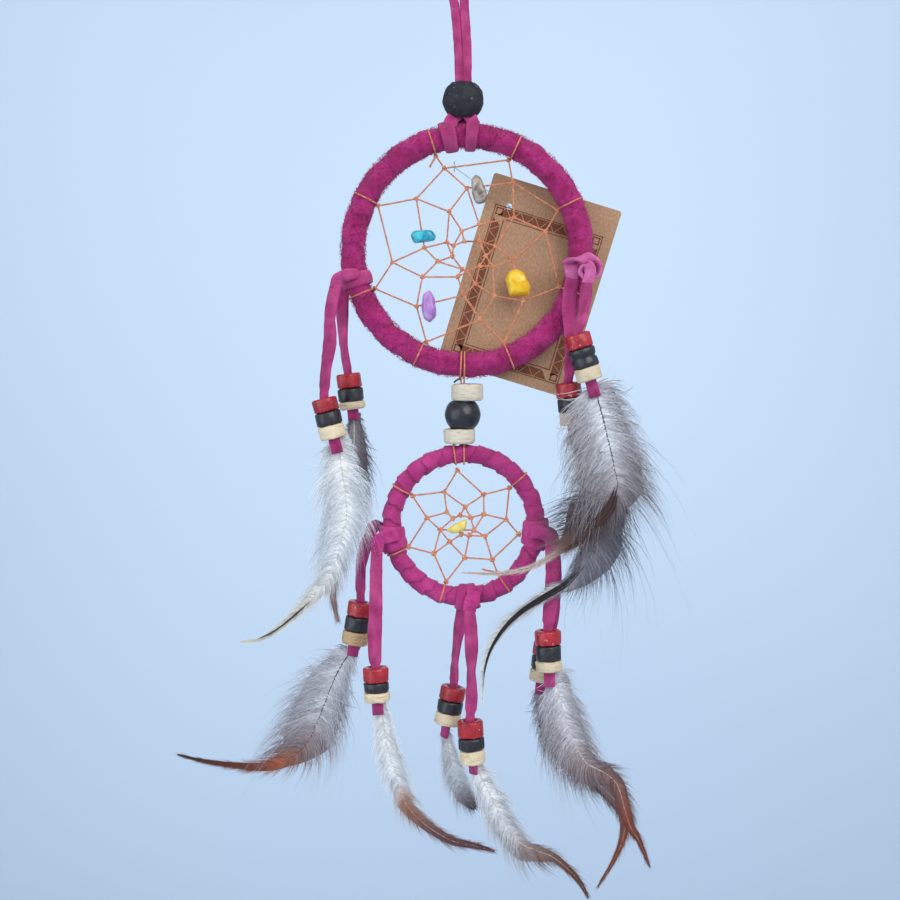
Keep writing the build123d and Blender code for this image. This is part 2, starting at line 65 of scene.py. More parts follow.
def linear(colour):
    """Scene-linear RGB from 0 to 255 screen values."""
    out = []
    for value in colour:
        v = min(max(value / 255, 0), 1)
        out.append(v / 12.92 if v <= 0.04045 else ((v + 0.055) / 1.055) ** 2.4)
    return tuple(out)


# Meshes


class Shape:
    """Vertices in millimetres, faces, and one tint per vertex."""

    def __init__(self):
        self.verts, self.faces, self.tints = [], [], []

    def add(self, point, tint=(1, 1, 1)):
        self.verts.append(point)
        self.tints.append(tint)
        return len(self.verts) - 1

    def grid(self, rows, closed_rows=False, closed_cols=True):
        """Quads between rows of vertex numbers."""
        count = len(rows)
        for i in range(count if closed_rows else count - 1):
            here, there = rows[i], rows[(i + 1) % count]
            cols = len(here)
            for j in range(cols if closed_cols else cols - 1):
                k = (j + 1) % cols
                self.faces.append((here[j], here[k], there[k], there[j]))

    def skin(self, rows):
        """Quads between the rows, and a face over each end."""
        self.grid(rows)
        self.faces += [tuple(reversed(rows[0])), tuple(rows[-1])]


def mesh(name, shape, material, body, node=None, smooth=True):
    """Makes a piece from a shape and puts it on a body. node is the CAD node that it replaces."""
    data = bpy.data.meshes.new(name)
    data.from_pydata([v * MM for v in shape.verts], [], shape.faces)
    tint = data.color_attributes.new("tint", "FLOAT_COLOR", "POINT")
    for i, value in enumerate(shape.tints):
        tint.data[i].color = (*value, 1.0)
    data.polygons.foreach_set("use_smooth", [smooth] * len(data.polygons))
    data.materials.append(material)
    obj = bpy.data.objects.new(name, data)
    bpy.context.collection.objects.link(obj)
    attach(obj, body)
    if node:
        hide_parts(node)
    return obj


def directions(points, closed=False):
    """The unit direction of a path at each of its points."""
    out = []
    count = len(points)
    for i in range(count):
        if closed:
            step = points[(i + 1) % count] - points[i - 1]
        else:
            step = points[min(i + 1, count - 1)] - points[max(i - 1, 0)]
        out.append(step.normalized())
    return out


def tube(shape, points, radius, sides, tint=(1, 1, 1), closed=False):
    """A round run along a path. radius is a number or a function of the fraction along."""
    rows = []
    normal = None
    heads = directions(points, closed)
    for i, (point, head) in enumerate(zip(points, heads)):
        if normal is None:
            normal = head.orthogonal().normalized()
        normal = (normal - head * normal.dot(head)).normalized()
        side = head.cross(normal)
        share = i / max(len(points) - 1, 1)
        r = radius(share) if callable(radius) else radius
        row = []
        for j in range(sides):
            a = 2 * pi * j / sides
            row.append(shape.add(point + (normal * cos(a) + side * sin(a)) * r, tint))
        rows.append(row)
    if closed:
        shape.grid(rows, closed_rows=True)
    else:
        shape.skin(rows)


def catmull_rom(p0, p1, p2, p3, t):
    """A point between p1 and p2."""
    return 0.5 * (2 * p1 + (p2 - p0) * t + (2 * p0 - 5 * p1 + 4 * p2 - p3) * t * t
                  + (3 * p1 - p0 - 3 * p2 + p3) * t ** 3)


def smooth_path(points, per_span):
    out = []
    last = len(points) - 1
    for i in range(last):
        ends = points[max(i - 1, 0)], points[i], points[i + 1], points[min(i + 2, last)]
        out += [catmull_rom(*ends, k / per_span) for k in range(per_span)]
    out.append(points[-1].copy())
    return out


def nurbs_path(name, points):
    """The points of a NURBS curve with these control points, in millimetres."""
    curve = bpy.data.curves.new(name, "CURVE")
    curve.dimensions = "3D"
    spline = curve.splines.new("NURBS")
    spline.points.add(len(points) - 1)
    for target, point in zip(spline.points, points):
        target.co = (*(point * MM), 1.0)
    spline.order_u = 3
    spline.use_endpoint_u = True
    spline.resolution_u = 8
    holder = bpy.data.objects.new(name, curve)
    sampled = bpy.data.meshes.new_from_object(holder)
    path = [v.co / MM for v in sampled.vertices]
    bpy.data.objects.remove(holder)
    bpy.data.curves.remove(curve)
    bpy.data.meshes.remove(sampled)
    return path


def steps(values, share):
    """Straight-line lookup in a list of evenly spaced values."""
    where = share * (len(values) - 1)
    i = min(int(where), len(values) - 2)
    return values[i] + (values[i + 1] - values[i]) * (where - i)


# Across and through a strip, as shares of half its width and half its thickness
STRIP_SECTION = ((-1, -0.3), (-0.93, -0.85), (-0.5, -1), (0, -1), (0.5, -1), (0.93, -0.85), (1, -0.3),
                 (1, 0.3), (0.93, 0.85), (0.5, 1), (0, 1), (-0.5, 1), (-0.93, 0.85), (-1, 0.3))


def ribbon(shape, points, width, thick, twist, tint, across=Vector((1, 0, 0))):
    """A flat strip with rounded edges. width and twist (degrees) are lists spread along the path."""
    rows = []
    for i, (point, head) in enumerate(zip(points, directions(points))):
        share = i / (len(points) - 1)
        side = (across - head * across.dot(head)).normalized()
        side = Matrix.Rotation(radians(steps(twist, share)), 3, head) @ side
        up = head.cross(side)
        half = steps(width, share) / 2
        wave = noise.noise(point * 0.45) * 0.22
        half *= 1 + wave * 0.35
        row = []
        for u, v in STRIP_SECTION:
            spot = point + side * (u * half) + up * (v * thick / 2 + wave * 0.5)
            row.append(shape.add(spot, tint(share, u)))
        rows.append(row)
    shape.skin(rows)


def lathe(shape, centre, axis, profile, segments, rough, seed, tint=(1, 1, 1)):
    """Turns a closed (radius, height) profile about an axis, with a hand-made unevenness."""
    side = axis.orthogonal().normalized()
    other = axis.cross(side)
    rows = []
    for i in range(segments):
        a = 2 * pi * i / segments
        out = side * cos(a) + other * sin(a)
        row = []
        for radius, height in profile:
            spot = centre + out * radius + axis * height
            bump = noise.noise(spot * 0.55 + Vector((seed, 0, 0))) * rough
            row.append(shape.add(spot + out * bump + axis * bump * 0.6, tint))
        rows.append(row)
    shape.grid(rows, closed_rows=True)


# Materials


class Look:
    """A Principled material with its nodes, built up a step at a time."""

    def __init__(self, name, roughness, sheen=0.0, coat=0.0, transmission=0.0):
        self.material = bpy.data.materials.new(name)
        self.material.use_nodes = True
        self.tree = self.material.node_tree
        self.shader = self.tree.nodes["Principled BSDF"]
        self.shader.inputs["Roughness"].default_value = roughness
        self.shader.inputs["Sheen Weight"].default_value = sheen
        self.shader.inputs["Coat Weight"].default_value = coat
        self.shader.inputs["Coat Roughness"].default_value = 0.2
        self.shader.inputs["Transmission Weight"].default_value = transmission
        self.coords = self.node("ShaderNodeTexCoord").outputs["Object"]

    def node(self, kind, **values):
        made = self.tree.nodes.new(kind)
        for key, value in values.items():
            setattr(made, key, value)
        return made

    def link(self, out, into):
        self.tree.links.new(out, into)

    def noise(self, scale, detail=4.0, stretch=(1, 1, 1), distortion=0.0):
        mapping = self.node("ShaderNodeMapping")
        mapping.inputs["Scale"].default_value = stretch
        self.link(self.coords, mapping.inputs["Vector"])
        texture = self.node("ShaderNodeTexNoise")
        texture.inputs["Scale"].default_value = scale
        texture.inputs["Detail"].default_value = detail
        texture.inputs["Distortion"].default_value = distortion
        self.link(mapping.outputs["Vector"], texture.inputs["Vector"])
        return texture.outputs["Fac"]

    def ramp(self, value, stops):
        ramp = self.node("ShaderNodeValToRGB")
        bands = ramp.color_ramp.elements
        while len(bands) < len(stops):
            bands.new(0.5)
        for band, (position, colour) in zip(bands, stops):
            band.position = position
            band.color = (*linear(colour), 1.0)
        self.link(value, ramp.inputs["Fac"])
        return ramp.outputs["Color"]

    def mixed(self, factor, a, b, blend="MIX"):
        both = self.node("ShaderNodeMix", data_type="RGBA", blend_type=blend)
        if isinstance(factor, float):
            both.inputs["Factor"].default_value = factor
        else:
            self.link(factor, both.inputs["Factor"])
        self.link(a, both.inputs[6])
        self.link(b, both.inputs[7])
        return both.outputs[2]

    def tint(self):
        attribute = self.node("ShaderNodeAttribute", attribute_name="tint")
        return attribute.outputs["Color"]

    def colour(self, out, tinted=True):
        if tinted:
            out = self.mixed(1.0, out, self.tint(), blend="MULTIPLY")
        self.link(out, self.shader.inputs["Base Color"])

    def bump(self, height, distance, strength=1.0):
        bump = self.node("ShaderNodeBump")
        bump.inputs["Distance"].default_value = distance
        bump.inputs["Strength"].default_value = strength
        self.link(height, bump.inputs["Height"])
        self.link(bump.outputs["Normal"], self.shader.inputs["Normal"])


def suede(name, dark, light, nap=0.0003):
    look = Look(name, 0.95, sheen=0.12)
    broad = look.noise(180.0, 5.0)
    fine = look.noise(2600.0, 3.0)
    body = look.ramp(broad, [(0.3, dark), (0.7, light)])
    grain = look.ramp(fine, [(0.3, (205, 205, 205)), (0.65, (255, 255, 255))])
    look.colour(look.mixed(0.8, body, grain, blend="MULTIPLY"))
    look.bump(fine, nap)
    return look.material


def painted(name, dark, light, bare, chips, roughness=0.35, coat=0.3):
    look = Look(name, roughness, coat=coat)
    broad = look.noise(420.0, 4.0)
    paint = look.ramp(broad, [(0.35, dark), (0.65, light)])
    wood = look.ramp(look.noise(900.0, 2.0), [(0.4, bare), (0.6, mix(bare, (255, 255, 255), 0.2))])
    worn = look.ramp(look.noise(700.0, 6.0), [(chips, (0, 0, 0)), (chips + 0.02, (255, 255, 255))])
    look.colour(look.mixed(worn, paint, wood))
    look.bump(look.noise(650.0, 3.0), 0.0003)
    return look.material


def bare_wood(name, dark, light):
    look = Look(name, 0.75)
    grain = look.noise(260.0, 6.0, stretch=(1, 1, 7), distortion=0.6)
    body = look.ramp(grain, [(0.3, dark), (0.5, light), (0.7, mix(dark, light, 0.7))])
    look.colour(body)
    look.bump(grain, 0.0003)
    return look.material


def mineral(name, dark, middle, light, scale, roughness=0.3, last=0.7):
    look = Look(name, roughness, coat=0.3)
    veins = look.noise(scale, 8.0, distortion=1.5)
    look.colour(look.ramp(veins, [(0.3, dark), (0.5, middle), (last, light)]))
    look.bump(look.noise(scale * 3, 4.0), 0.0002, 0.6)
    return look.material


def feathery(name):
    """Nearly white, so that each barb keeps its own tint."""
    look = Look(name, 0.75, sheen=0.2)
    streak = look.noise(900.0, 3.0)
    look.colour(look.ramp(streak, [(0.3, (238, 238, 238)), (0.65, (255, 255, 255))]))
    look.shader.inputs["Specular IOR Level"].default_value = 0.25
    return look.material


def waxed(name, dark, light):
    look = Look(name, 0.6, sheen=0.1)
    look.colour(look.ramp(look.noise(700.0, 3.0), [(0.35, dark), (0.65, light)]))
    look.bump(look.noise(5000.0, 2.0), 0.0001)
    return look.material


def card_look(name, dark, light):
    look = Look(name, 0.9)
    fibres = look.noise(1300.0, 6.0, stretch=(1, 1, 0.7))
    flecks = look.noise(2400.0, 3.0)
    body = look.ramp(fibres, [(0.3, dark), (0.7, light)])
    speck = look.ramp(flecks, [(0.3, (215, 215, 215)), (0.5, (255, 255, 255))])
    look.colour(look.mixed(0.6, body, speck, blend="MULTIPLY"), tinted=False)
    look.bump(fibres, 0.0001)
    return look.material


def clear(name, dark, light):
    look = Look(name, 0.15, transmission=0.95)
    look.colour(look.ramp(look.noise(300.0), [(0.4, dark), (0.6, light)]), tinted=False)
    return look.material


UPPER_SUEDE = suede("upper_suede", (178, 24, 112), (216, 52, 148), nap=0.0008)
LOWER_SUEDE = suede("lower_suede", (178, 42, 122), (210, 68, 148))
LACE_SUEDE = suede("lace_suede", (172, 44, 112), (208, 78, 146))
PALE_SUEDE = suede("pale_suede", (200, 84, 152), (224, 118, 180))
RED_PAINT = painted("red_paint", (150, 22, 40), (186, 36, 50), (196, 130, 110), 0.66)
BLACK_PAINT = painted("black_paint", (22, 24, 32), (40, 42, 52), (96, 84, 78), 0.72, 0.4)
BLACK_MATTE = painted("black_matte", (22, 24, 36), (38, 40, 52), (74, 72, 82), 0.66, 0.7, 0.0)
BARE_WOOD = bare_wood("bare_wood", (196, 172, 138), (232, 216, 186))
TAN_WOOD = bare_wood("tan_wood", (158, 128, 92), (204, 176, 136))
DISC_WOOD = bare_wood("disc_wood", (196, 184, 160), (226, 218, 200))
CANE = bare_wood("cane", (170, 130, 84), (206, 170, 120))
WAXED_THREAD = waxed("waxed_thread", (200, 118, 84), (234, 160, 120))
DARK_THREAD = waxed("dark_thread", (70, 40, 34), (104, 62, 48))
PLUME = feathery("plume")
CARD = card_look("kraft_card", (172, 134, 104), (198, 160, 128))
PRINT = card_look("brown_print", (118, 66, 46), (140, 84, 60))
GREY_STONE = mineral("grey_stone", (92, 82, 76), (160, 148, 136), (206, 196, 184), 260.0, roughness=0.5)
TURQUOISE = mineral("turquoise", (16, 120, 150), (40, 178, 204), (80, 208, 222), 260.0)
YELLOW_STONE = mineral("yellow_stone", (226, 160, 10), (246, 198, 24), (252, 222, 90), 200.0, last=0.72)
LILAC_STONE = mineral("lilac_stone", (156, 104, 184), (190, 142, 214), (216, 180, 232), 240.0)
CREAM_STONE = mineral("cream_stone", (226, 196, 70), (242, 224, 122), (250, 242, 190), 320.0)
CLEAR = clear("clear_plastic", (215, 222, 232), (240, 244, 250))


# Hoops: a strip of suede wound over each ring in oblique laps, with painted shade along the lap seams


def hoop_point(hoop, angle, around, lift=0.0):
    """A point above a hoop's tube: angle round the hoop, around the tube from its outside to the back."""
    out = Vector((cos(angle), 0, sin(angle)))
    radius = hoop.tube + lift
    return hoop.centre + out * (hoop.ring + radius * cos(around)) + BACK * (radius * sin(around))


LAP_POINTS, AROUND_POINTS = 26, 44
LAP_EDGE = 0.93  # the share of a lap at which it dips under the next one


def wound_hoop(name, node, hoop, laps, step, lumps, painted_seam_shade, material, seed):
    shape = Shape()
    rows = []
    count = laps * LAP_POINTS
    for i in range(count):
        angle = 2 * pi * i / count
        row = []
        for j in range(AROUND_POINTS):
            around = 2 * pi * j / AROUND_POINTS
            flat = hoop_point(hoop, angle, around)
            wander = 0.28 * noise.noise(Vector((angle * laps * 0.21, seed, cos(around))))
            phase = (laps * angle + around) / (2 * pi) + wander
            within = phase - floor(phase)
            lift = step * (within - 0.5)
            if within > LAP_EDGE:
                lift = step * (LAP_EDGE - 0.5 - (within - LAP_EDGE) / (1 - LAP_EDGE) * LAP_EDGE)
            lift += lumps * noise.noise(flat * 0.22 + Vector((seed, 0, 0)))
            lift += lumps * 0.4 * noise.noise(flat * 0.9)
            # The seam where one lap dips under the next is darkened with painted shade in that crease. The
            # per-lap patch on top of it is a random tone of the suede.
            seam_shade_mask = exp(-(((within if within < 0.5 else within - 1) / 0.06) ** 2))
            patch = 1.0 + 0.16 * noise.noise(Vector((floor(phase) * 3.1, seed, 0)))
            shade = patch * (1 - painted_seam_shade * seam_shade_mask)
            row.append(shape.add(hoop_point(hoop, angle, around, lift - 0.1), (shade,) * 3))
        rows.append(row)
    shape.grid(rows, closed_rows=True)
    mesh(name, shape, material, hoop.body, node)


def nap(name, hoop, count, length, material, seed):
    """Short stray fibres that stand out of the suede."""
    draw = random.Random(seed)
    shape = Shape()
    for _ in range(count):
        angle, around = draw.uniform(0, 2 * pi), draw.uniform(0, 2 * pi)
        root = hoop_point(hoop, angle, around, -0.1)
        outward = (hoop_point(hoop, angle, around, 1) - root).normalized()
        lean = Vector((draw.uniform(-1, 1), draw.uniform(-1, 1), draw.uniform(-1, 1)))
        grow = (outward * 0.7 + lean).normalized()
        side = grow.cross(lean).normalized() * 0.05
        reach = length * draw.uniform(0.4, 1.2)
        bend = root + grow * reach * 0.55 + outward * 0.1
        end = root + grow * reach + lean * 0.25
        shade = draw.uniform(0.95, 1.4)
        outline = (root - side, root + side, bend + side, end, bend - side)
        shape.faces.append(tuple(shape.add(p, (shade,) * 3) for p in outline))
    mesh(name, shape, material, hoop.body, smooth=False)


# 0.16 and 0.28 set how strongly the painted shade darkens the lap seams of each wrap.
wound_hoop("upper_wrap", "upper_hoop_wrap", UPPER_HOOP, 25, 0.4, 0.6, 0.16, UPPER_SUEDE, 3.0)
nap("upper_nap", UPPER_HOOP, 16000, 1.0, UPPER_SUEDE, 5)
wound_hoop("lower_wrap", "lower_hoop_wrap", LOWER_HOOP, 27, 0.6, 0.35, 0.28, LOWER_SUEDE, 9.0)
nap("lower_nap", LOWER_HOOP, 1600, 0.5, LOWER_SUEDE, 6)


def dress(node, material):
    """Gives a CAD object that stays in view its material."""
    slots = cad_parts[node].data.materials
    slots.clear()
    slots.append(material)


dress("upper_hoop_core", CANE)
dress("lower_hoop_core", CANE)


# Webs: two-ply thread with a small knot wherever runs meet

UPPER_ROWS = [
    [(-11.1, 33.6), (14.7, 32.2), (32.3, 14.4), (33, -12.7),
     (13.3, -32.6), (-14.5, -32.3), (-32.8, -13.3), (-31.6, 16)],
    [(-8, 29.3), (16.3, 24.3), (28, 7), (20.2, -17.6),
     (4.7, -24.3), (-18, -19.6), (-26.6, -3.9), (-18, 18.6)],
    [(0, 22.3), (16.7, 12), (16.3, -3.3), (9.7, -15.9),
     (-1.2, -15.6), (-15.9, -9.1), (-15.2, 1.2), (-6.3, 14)],
    [(4.4, 9.5), (10.3, 1.9), (9.2, -5.4), (3, -11.6),
     (-3.3, -9.1), (-10.4, -3.6), (-7.2, 3.2), (-1.8, 7.2)],
    [(4.4, 3.5), (6.7, -1.7), (4.5, -5.2), (0.1, -7.2),
     (-1.8, -6.3), (-5.2, -1.8), (-4.8, 2), (-1, 3.5)],
]
UPPER_TURNS = (108, 64.5, 24.8, -21, -68, -115.3, 201.8, 152.6)
LOWER_KNOTS = {
    "a0": (-2.3, 19.9), "a1": (16.4, 13.6), "a2": (19.9, -3.2), "a3": (12.4, -17.6),
    "a4": (-6.3, -20.5), "a5": (-20, -7.8), "a6": (-18.5, 10.8),
    "b0": (7.2, 11.2), "b1": (15.3, 2.2), "b2": (10.3, -12.4), "b3": (0.4, -11.7),
    "b4": (-10.8, -10.2), "b5": (-13.3, 2.8), "b6": (-7, 12.2),
    "c0": (0.5, 6.7), "c1": (7.3, 4.1), "c2": (7.7, -3.9), "c3": (2, -3.6),
    "c4": (-5.1, -6), "c5": (-8.5, -1.6), "c6": (-6.1, 4.8),
    "d0": (2.5, 2.9), "d1": (3.8, -1.7), "d2": (-1.3, 3.7), "d3": (-3.8, 2.6), "e0": (-0.9, -3.2),
}
LOWER_RUNS = (
    "a0b0 b0a1 a1b1 b1a2 a2b2 b2a3 b2b3 b3a4 a4b4 b4a5 a5b5 b5a6 a6b6 b6a0 "
    "b0c1 c1b1 b1c2 c2b2 c3b3 b3c4 c4b4 b4c5 c5b5 b5c6 c6b6 b6c0 c0b0 "
    "c2c3 c0d0 d0c1 c1d1 d1c2 d1c3 c3e0 e0c4 c4c5 c5d3 d3c6 d3d2 d2c0 d0d1 d2d0 c5d1"
)
LOWER_TURNS = (40.2, -55, -107.5, 201.6, 149.7)
PLY_PITCH = 1.7
THREAD_STEP = 0.28


def twine(shape, points, radius=THREAD, closed=False):
    """Two plies twisted round each other along a path."""
    heads = directions(points, closed)
    lengths = [0]
    for here, there in zip(points, points[1:]):
        lengths.append(lengths[-1] + (there - here).length)
    total = lengths[-1] + ((points[0] - points[-1]).length if closed else 0)
    turns = max(1, round(total / PLY_PITCH))
    for ply in (0, pi):
        path = []
        for point, head, length in zip(points, heads, lengths):
            normal = BACK - head * BACK.dot(head)
            if normal.length < 0.2:
                normal = head.orthogonal()
            normal.normalize()
            side = head.cross(normal)
            a = ply + 2 * pi * turns * length / total
            path.append(point + (normal * cos(a) + side * sin(a)) * radius * 0.46)
        tube(shape, path, radius * 0.58, 5, closed=closed)


def slack_run(start, end):
    count = max(2, ceil((end - start).length / THREAD_STEP))
    sag = Vector((0, 0, -0.05))
    return [start.lerp(end, i / count) + sag * sin(pi * i / count) for i in range(count + 1)]


def knot_of_thread(shape, centre, size, seed):
    """A small overhand knot as a closed trefoil of thread."""
    draw = random.Random(seed)
    turn = Matrix.Rotation(draw.uniform(0, 6), 3, "Y") @ Matrix.Rotation(draw.uniform(-0.5, 0.5), 3, "X")
    path = []
    for i in range(36):
        a = 2 * pi * i / 36
        spot = Vector((sin(a) + 2 * sin(2 * a), -sin(3 * a) * 1.1, cos(a) - 2 * cos(2 * a))) / 3
        path.append(centre + turn @ spot * size)
    tube(shape, path, size * 0.42, 6, closed=True)


def hoop_turn(shape, hoop, angle, clear=0.1, count=90):
    path = [hoop_point(hoop, angle, 2 * pi * i / count, clear) for i in range(count)]
    twine(shape, path, closed=True)


def web(name, node, hoop, runs, knots, knot_size, turns):
    shape = Shape()
    for start, end in runs:
        twine(shape, slack_run(place(*start), place(*end)))
    for i, spot in enumerate(knots):
        knot_of_thread(shape, place(*spot), knot_size, i)
    for angle in turns:
        hoop_turn(shape, hoop, radians(angle))
    mesh(name, shape, WAXED_THREAD, hoop.body, node)


upper_runs = []
for outer, inner in zip(UPPER_ROWS, UPPER_ROWS[1:]):
    for i, spot in enumerate(inner):
        upper_runs.append((outer[i], spot))
        upper_runs.append((spot, outer[(i + 1) % 8] if i < 7 else inner[0]))
inmost = UPPER_ROWS[-1]
upper_runs += zip(inmost, inmost[1:] + inmost[:1])
upper_knots = [spot for row in UPPER_ROWS for spot in row]
web("upper_web_thread", "upper_web", UPPER_HOOP, upper_runs, upper_knots, 0.72, UPPER_TURNS)
lower_spots = {key: (x + LOWER_X, z + LOWER_Z) for key, (x, z) in LOWER_KNOTS.items()}
lower_runs = [(lower_spots[run[:2]], lower_spots[run[2:]]) for run in LOWER_RUNS.split()]
web("lower_web_thread", "lower_web", LOWER_HOOP, lower_runs, lower_spots.values(), 0.8, LOWER_TURNS)


def thread_tail(name, spots, body, material=WAXED_THREAD):
    shape = Shape()
    twine(shape, smooth_path([place(*s) for s in spots], 8), 0.4)
    mesh(name, shape, material, body)


START_TAIL = [(-11.1, 33.6, -0.6), (-11.8, 32, -1), (-12.6, 30.8, -0.8), (-13.2, 29.6, -0.2)]
SIDE_TAIL = [(-32.8, -13.3, -0.4), (-33.6, -14.4, -1.2), (-34, -15.4, -1)]
LOWER_TAIL = [(11.3, -116, -0.4), (10, -115.2, -0.9), (7, -114.6, -0.8), (5.6, -114.2, -0.3)]
thread_tail("start_knot_tail", START_TAIL, "upper_hoop")
thread_tail("side_knot_tail", SIDE_TAIL, "upper_hoop", DARK_THREAD)
thread_tail("lower_knot_tail", LOWER_TAIL, "lower_hoop")


# Stones


RIM_POINTS, PEBBLE_LAYERS = 8, 15


def pebble(name, outline, depth, material, seed, body="upper_hoop"):
    """A tumbled chip: its outline drawn in and rounded towards the front and the back."""
    corners = [Vector((x, 0, z)) for x, z in outline]
    middle = sum(corners, Vector()) / len(corners)
    rim = []
    count = len(corners)
    for i in range(count):
        ends = [corners[(i + k) % count] for k in (-1, 0, 1, 2)]
        for k in range(RIM_POINTS):
            t = k / RIM_POINTS
            rim.append(catmull_rom(*ends, t).lerp(ends[1].lerp(ends[2], t), 0.5))
    shape = Shape()
    rows = []
    for i in range(PEBBLE_LAYERS):
        a = -pi / 2 + pi * (i + 0.5) / PEBBLE_LAYERS
        shrink = abs(cos(a)) ** 0.42
        level = sin(a) * depth / 2
        row = []
        for spot in rim:
            here = middle + (spot - middle) * shrink + BACK * level
            here += (here - middle).normalized() * 0.35 * noise.noise(here * 0.35 + Vector((seed, 0, 0)))
            row.append(shape.add(here + UPPER))
        rows.append(row)
    shape.skin(rows)
    mesh(f"{name}_chip", shape, material, body, f"stone_{name}")


GREY = [(1.7, 25), (3, 27), (4.8, 26.2), (7.3, 20), (6.8, 17.2), (3.2, 17), (1.6, 20.6)]
BLUE = [(-20.1, 5.6), (-18.4, 7.2), (-13, 7.4), (-11, 5.4), (-11.8, 3.7), (-18.8, 2.8)]
YELLOW = [(14.6, -7.4), (17.6, -6.4), (20.6, -8), (22.6, -12.6), (21.8, -15.6), (15.6, -16),
          (14, -11)]
LILAC = [(-15.6, -15.2), (-13.2, -14), (-11.4, -17), (-11, -23), (-13.2, -25.4), (-15.4, -24),
         (-16.2, -19)]
CREAM = [(-7.4, -100.1), (-2.1, -96.7), (0, -96.4), (0.1, -99), (-2, -100.7), (-5.1, -101.5)]
pebble("grey", GREY, 5, GREY_STONE, 1)
pebble("turquoise", BLUE, 4.6, TURQUOISE, 2)
pebble("yellow", YELLOW, 6, YELLOW_STONE, 3)
pebble("lilac", LILAC, 5, LILAC_STONE, 4)
pebble("cream", CREAM, 3.6, CREAM_STONE, 5, "lower_hoop")


# Hanger: a doubled lace, a black bead and a lark's head round the upper hoop

HANGER_ROUTE = [
    (-2.7, 58.2), (-2.9, 68), (-3.5, 78), (-4.5, 88), (-7.3, 96), (-8.6, 102.8), (-7.6, 107.5),
    (-4.3, 109.5), (-1, 107.5), (0, 102.8), (-0.5, 96), (-1.2, 88), (-0.4, 78), (0.2, 68),
    (0, 58.2),
]


def mottle(low, high, seed):
    """A tint that wanders along and across a lace, with paler cut edges."""

    def tint(share, u):
        wander = noise.noise(Vector((share * 9, u * 1.2, seed)))
        level = low + (high - low) * (0.5 + wander)
        edge = 1.12 if abs(u) > 0.9 else 1.0
        return (level * edge,) * 3

    return tint


hanger_path = nurbs_path("hanger_route", [place(*spot) for spot in HANGER_ROUTE])
shape = Shape()
ribbon(shape, hanger_path, [3.1, 3.3, 3, 3.4, 3.1], 1.6, [8, 22, 4, -10, 6, 0, -18, -6],
       mottle(0.85, 1.15, 2))
hanger = mesh("hanger_strip", shape, LACE_SUEDE, "hanger", "hanger_lace")


def round_bead(name, node, spot, radius, height, bore, material, body, seed, rough):
    shape = Shape()
    half = height / 2
    profile = []
    for i in range(17):
        z = -half + height * i / 16
        profile.append((max((radius ** 2 - z * z) ** 0.5, bore + 0.6), z))
    profile += [(bore + 0.15, half), (bore, half - 0.5), (bore, 0.5 - half), (bore + 0.15, -half)]
    lathe(shape, place(*spot), UP, profile, 64, rough, seed)
    mesh(name, shape, material, body, node)


round_bead("top_bead", "hanger_bead", (-1.4, 53), 7.25, 12.4, 3.5, BLACK_MATTE, "hitch", 1, 0.4)

# Across and through a strip that lies on a hoop, as shares of half its width and its thickness
WRAP_SECTION = ((-1, 0.1), (-0.95, 0.7), (-0.6, 1), (0, 1.06), (0.6, 1), (0.95, 0.7), (1, 0.1),
                (0.95, 0), (0, 0), (-0.95, 0))
WRAP_STEPS = 34


def wrap_strip(shape, hoop, angle, width, thick, start, end, slant, clear, tint):
    """A strip round a hoop's tube from one place round it to another, in degrees from the outside
    to the back, with its width along the hoop. slant moves its end along the hoop, in mm."""
    rows = []
    for i in range(WRAP_STEPS + 1):
        share = i / WRAP_STEPS
        around = radians(start + (end - start) * share)
        shift = slant * (share - 0.5)
        row = []
        for u, v in WRAP_SECTION:
            turn = radians(angle) + (shift + u * width / 2) / hoop.ring
            ripple = 0.12 * noise.noise(Vector((u * 1.5, share * 6, angle)))
            row.append(shape.add(hoop_point(hoop, turn, around, clear + v * thick + ripple), tint(share, u)))
        rows.append(row)
    shape.skin(rows)


def fold(shape, spots, widths, twist, tint, thick=1.25, per_span=8, across=Vector((1, 0, 0))):
    """A short strip through a few (x, z, y) places."""
    ribbon(shape, smooth_path([place(*s) for s in spots], per_span), widths, thick, twist, tint, across)


shape = Shape()
for angle, width, slant in ((98.6, 5.2, 1.6), (88.2, 4.2, -1.4)):
    wrap_strip(shape, UPPER_HOOP, angle, width, 0.7, -330, 0, slant, 0.5, mottle(0.82, 1.05, angle))
fold(shape, [(-6.2, 44, -3.2), (-5, 46.6, -2.2), (-2.6, 48.4, -1.2), (-1.8, 51, -0.8)],
     [5, 4.6, 3.6, 2.6], [0, 10, 30, 40], mottle(0.9, 1.25, 5), 1.2, 6)
fold(shape, [(2.2, 44.2, -3.2), (1.4, 46.6, -2.4), (-0.6, 48.4, -1.4), (-1.2, 51, -0.6)],
     [4.6, 4.2, 3.4, 2.6], [0, -12, -30, -40], mottle(0.9, 1.25, 6), 1.2, 6)
fold(shape, [(-5.6, 46.2, 3.4), (-1.6, 47, 4.4), (2.4, 46.2, 3.4)],
     [5, 5, 5], [90, 90], mottle(0.85, 1.1, 7), 1.2, 6, BACK)
mesh("larks_head", shape, LACE_SUEDE, "hitch", "hanger_knot")


# Link: two strands of thread with a disc, a black bead and a disc


def ring_profile(outer, bore, height, edge):
    profile = []
    for centre_z, start in ((edge, -pi / 2), (height - edge, 0)):
        for k in range(5):
            a = start + pi / 2 * k / 4
            profile.append((outer - edge + edge * cos(a), centre_z + edge * sin(a)))
    small = edge * 0.4
    profile += [(bore + small, height), (bore, height - small), (bore, small), (bore + small, 0)]
    return profile


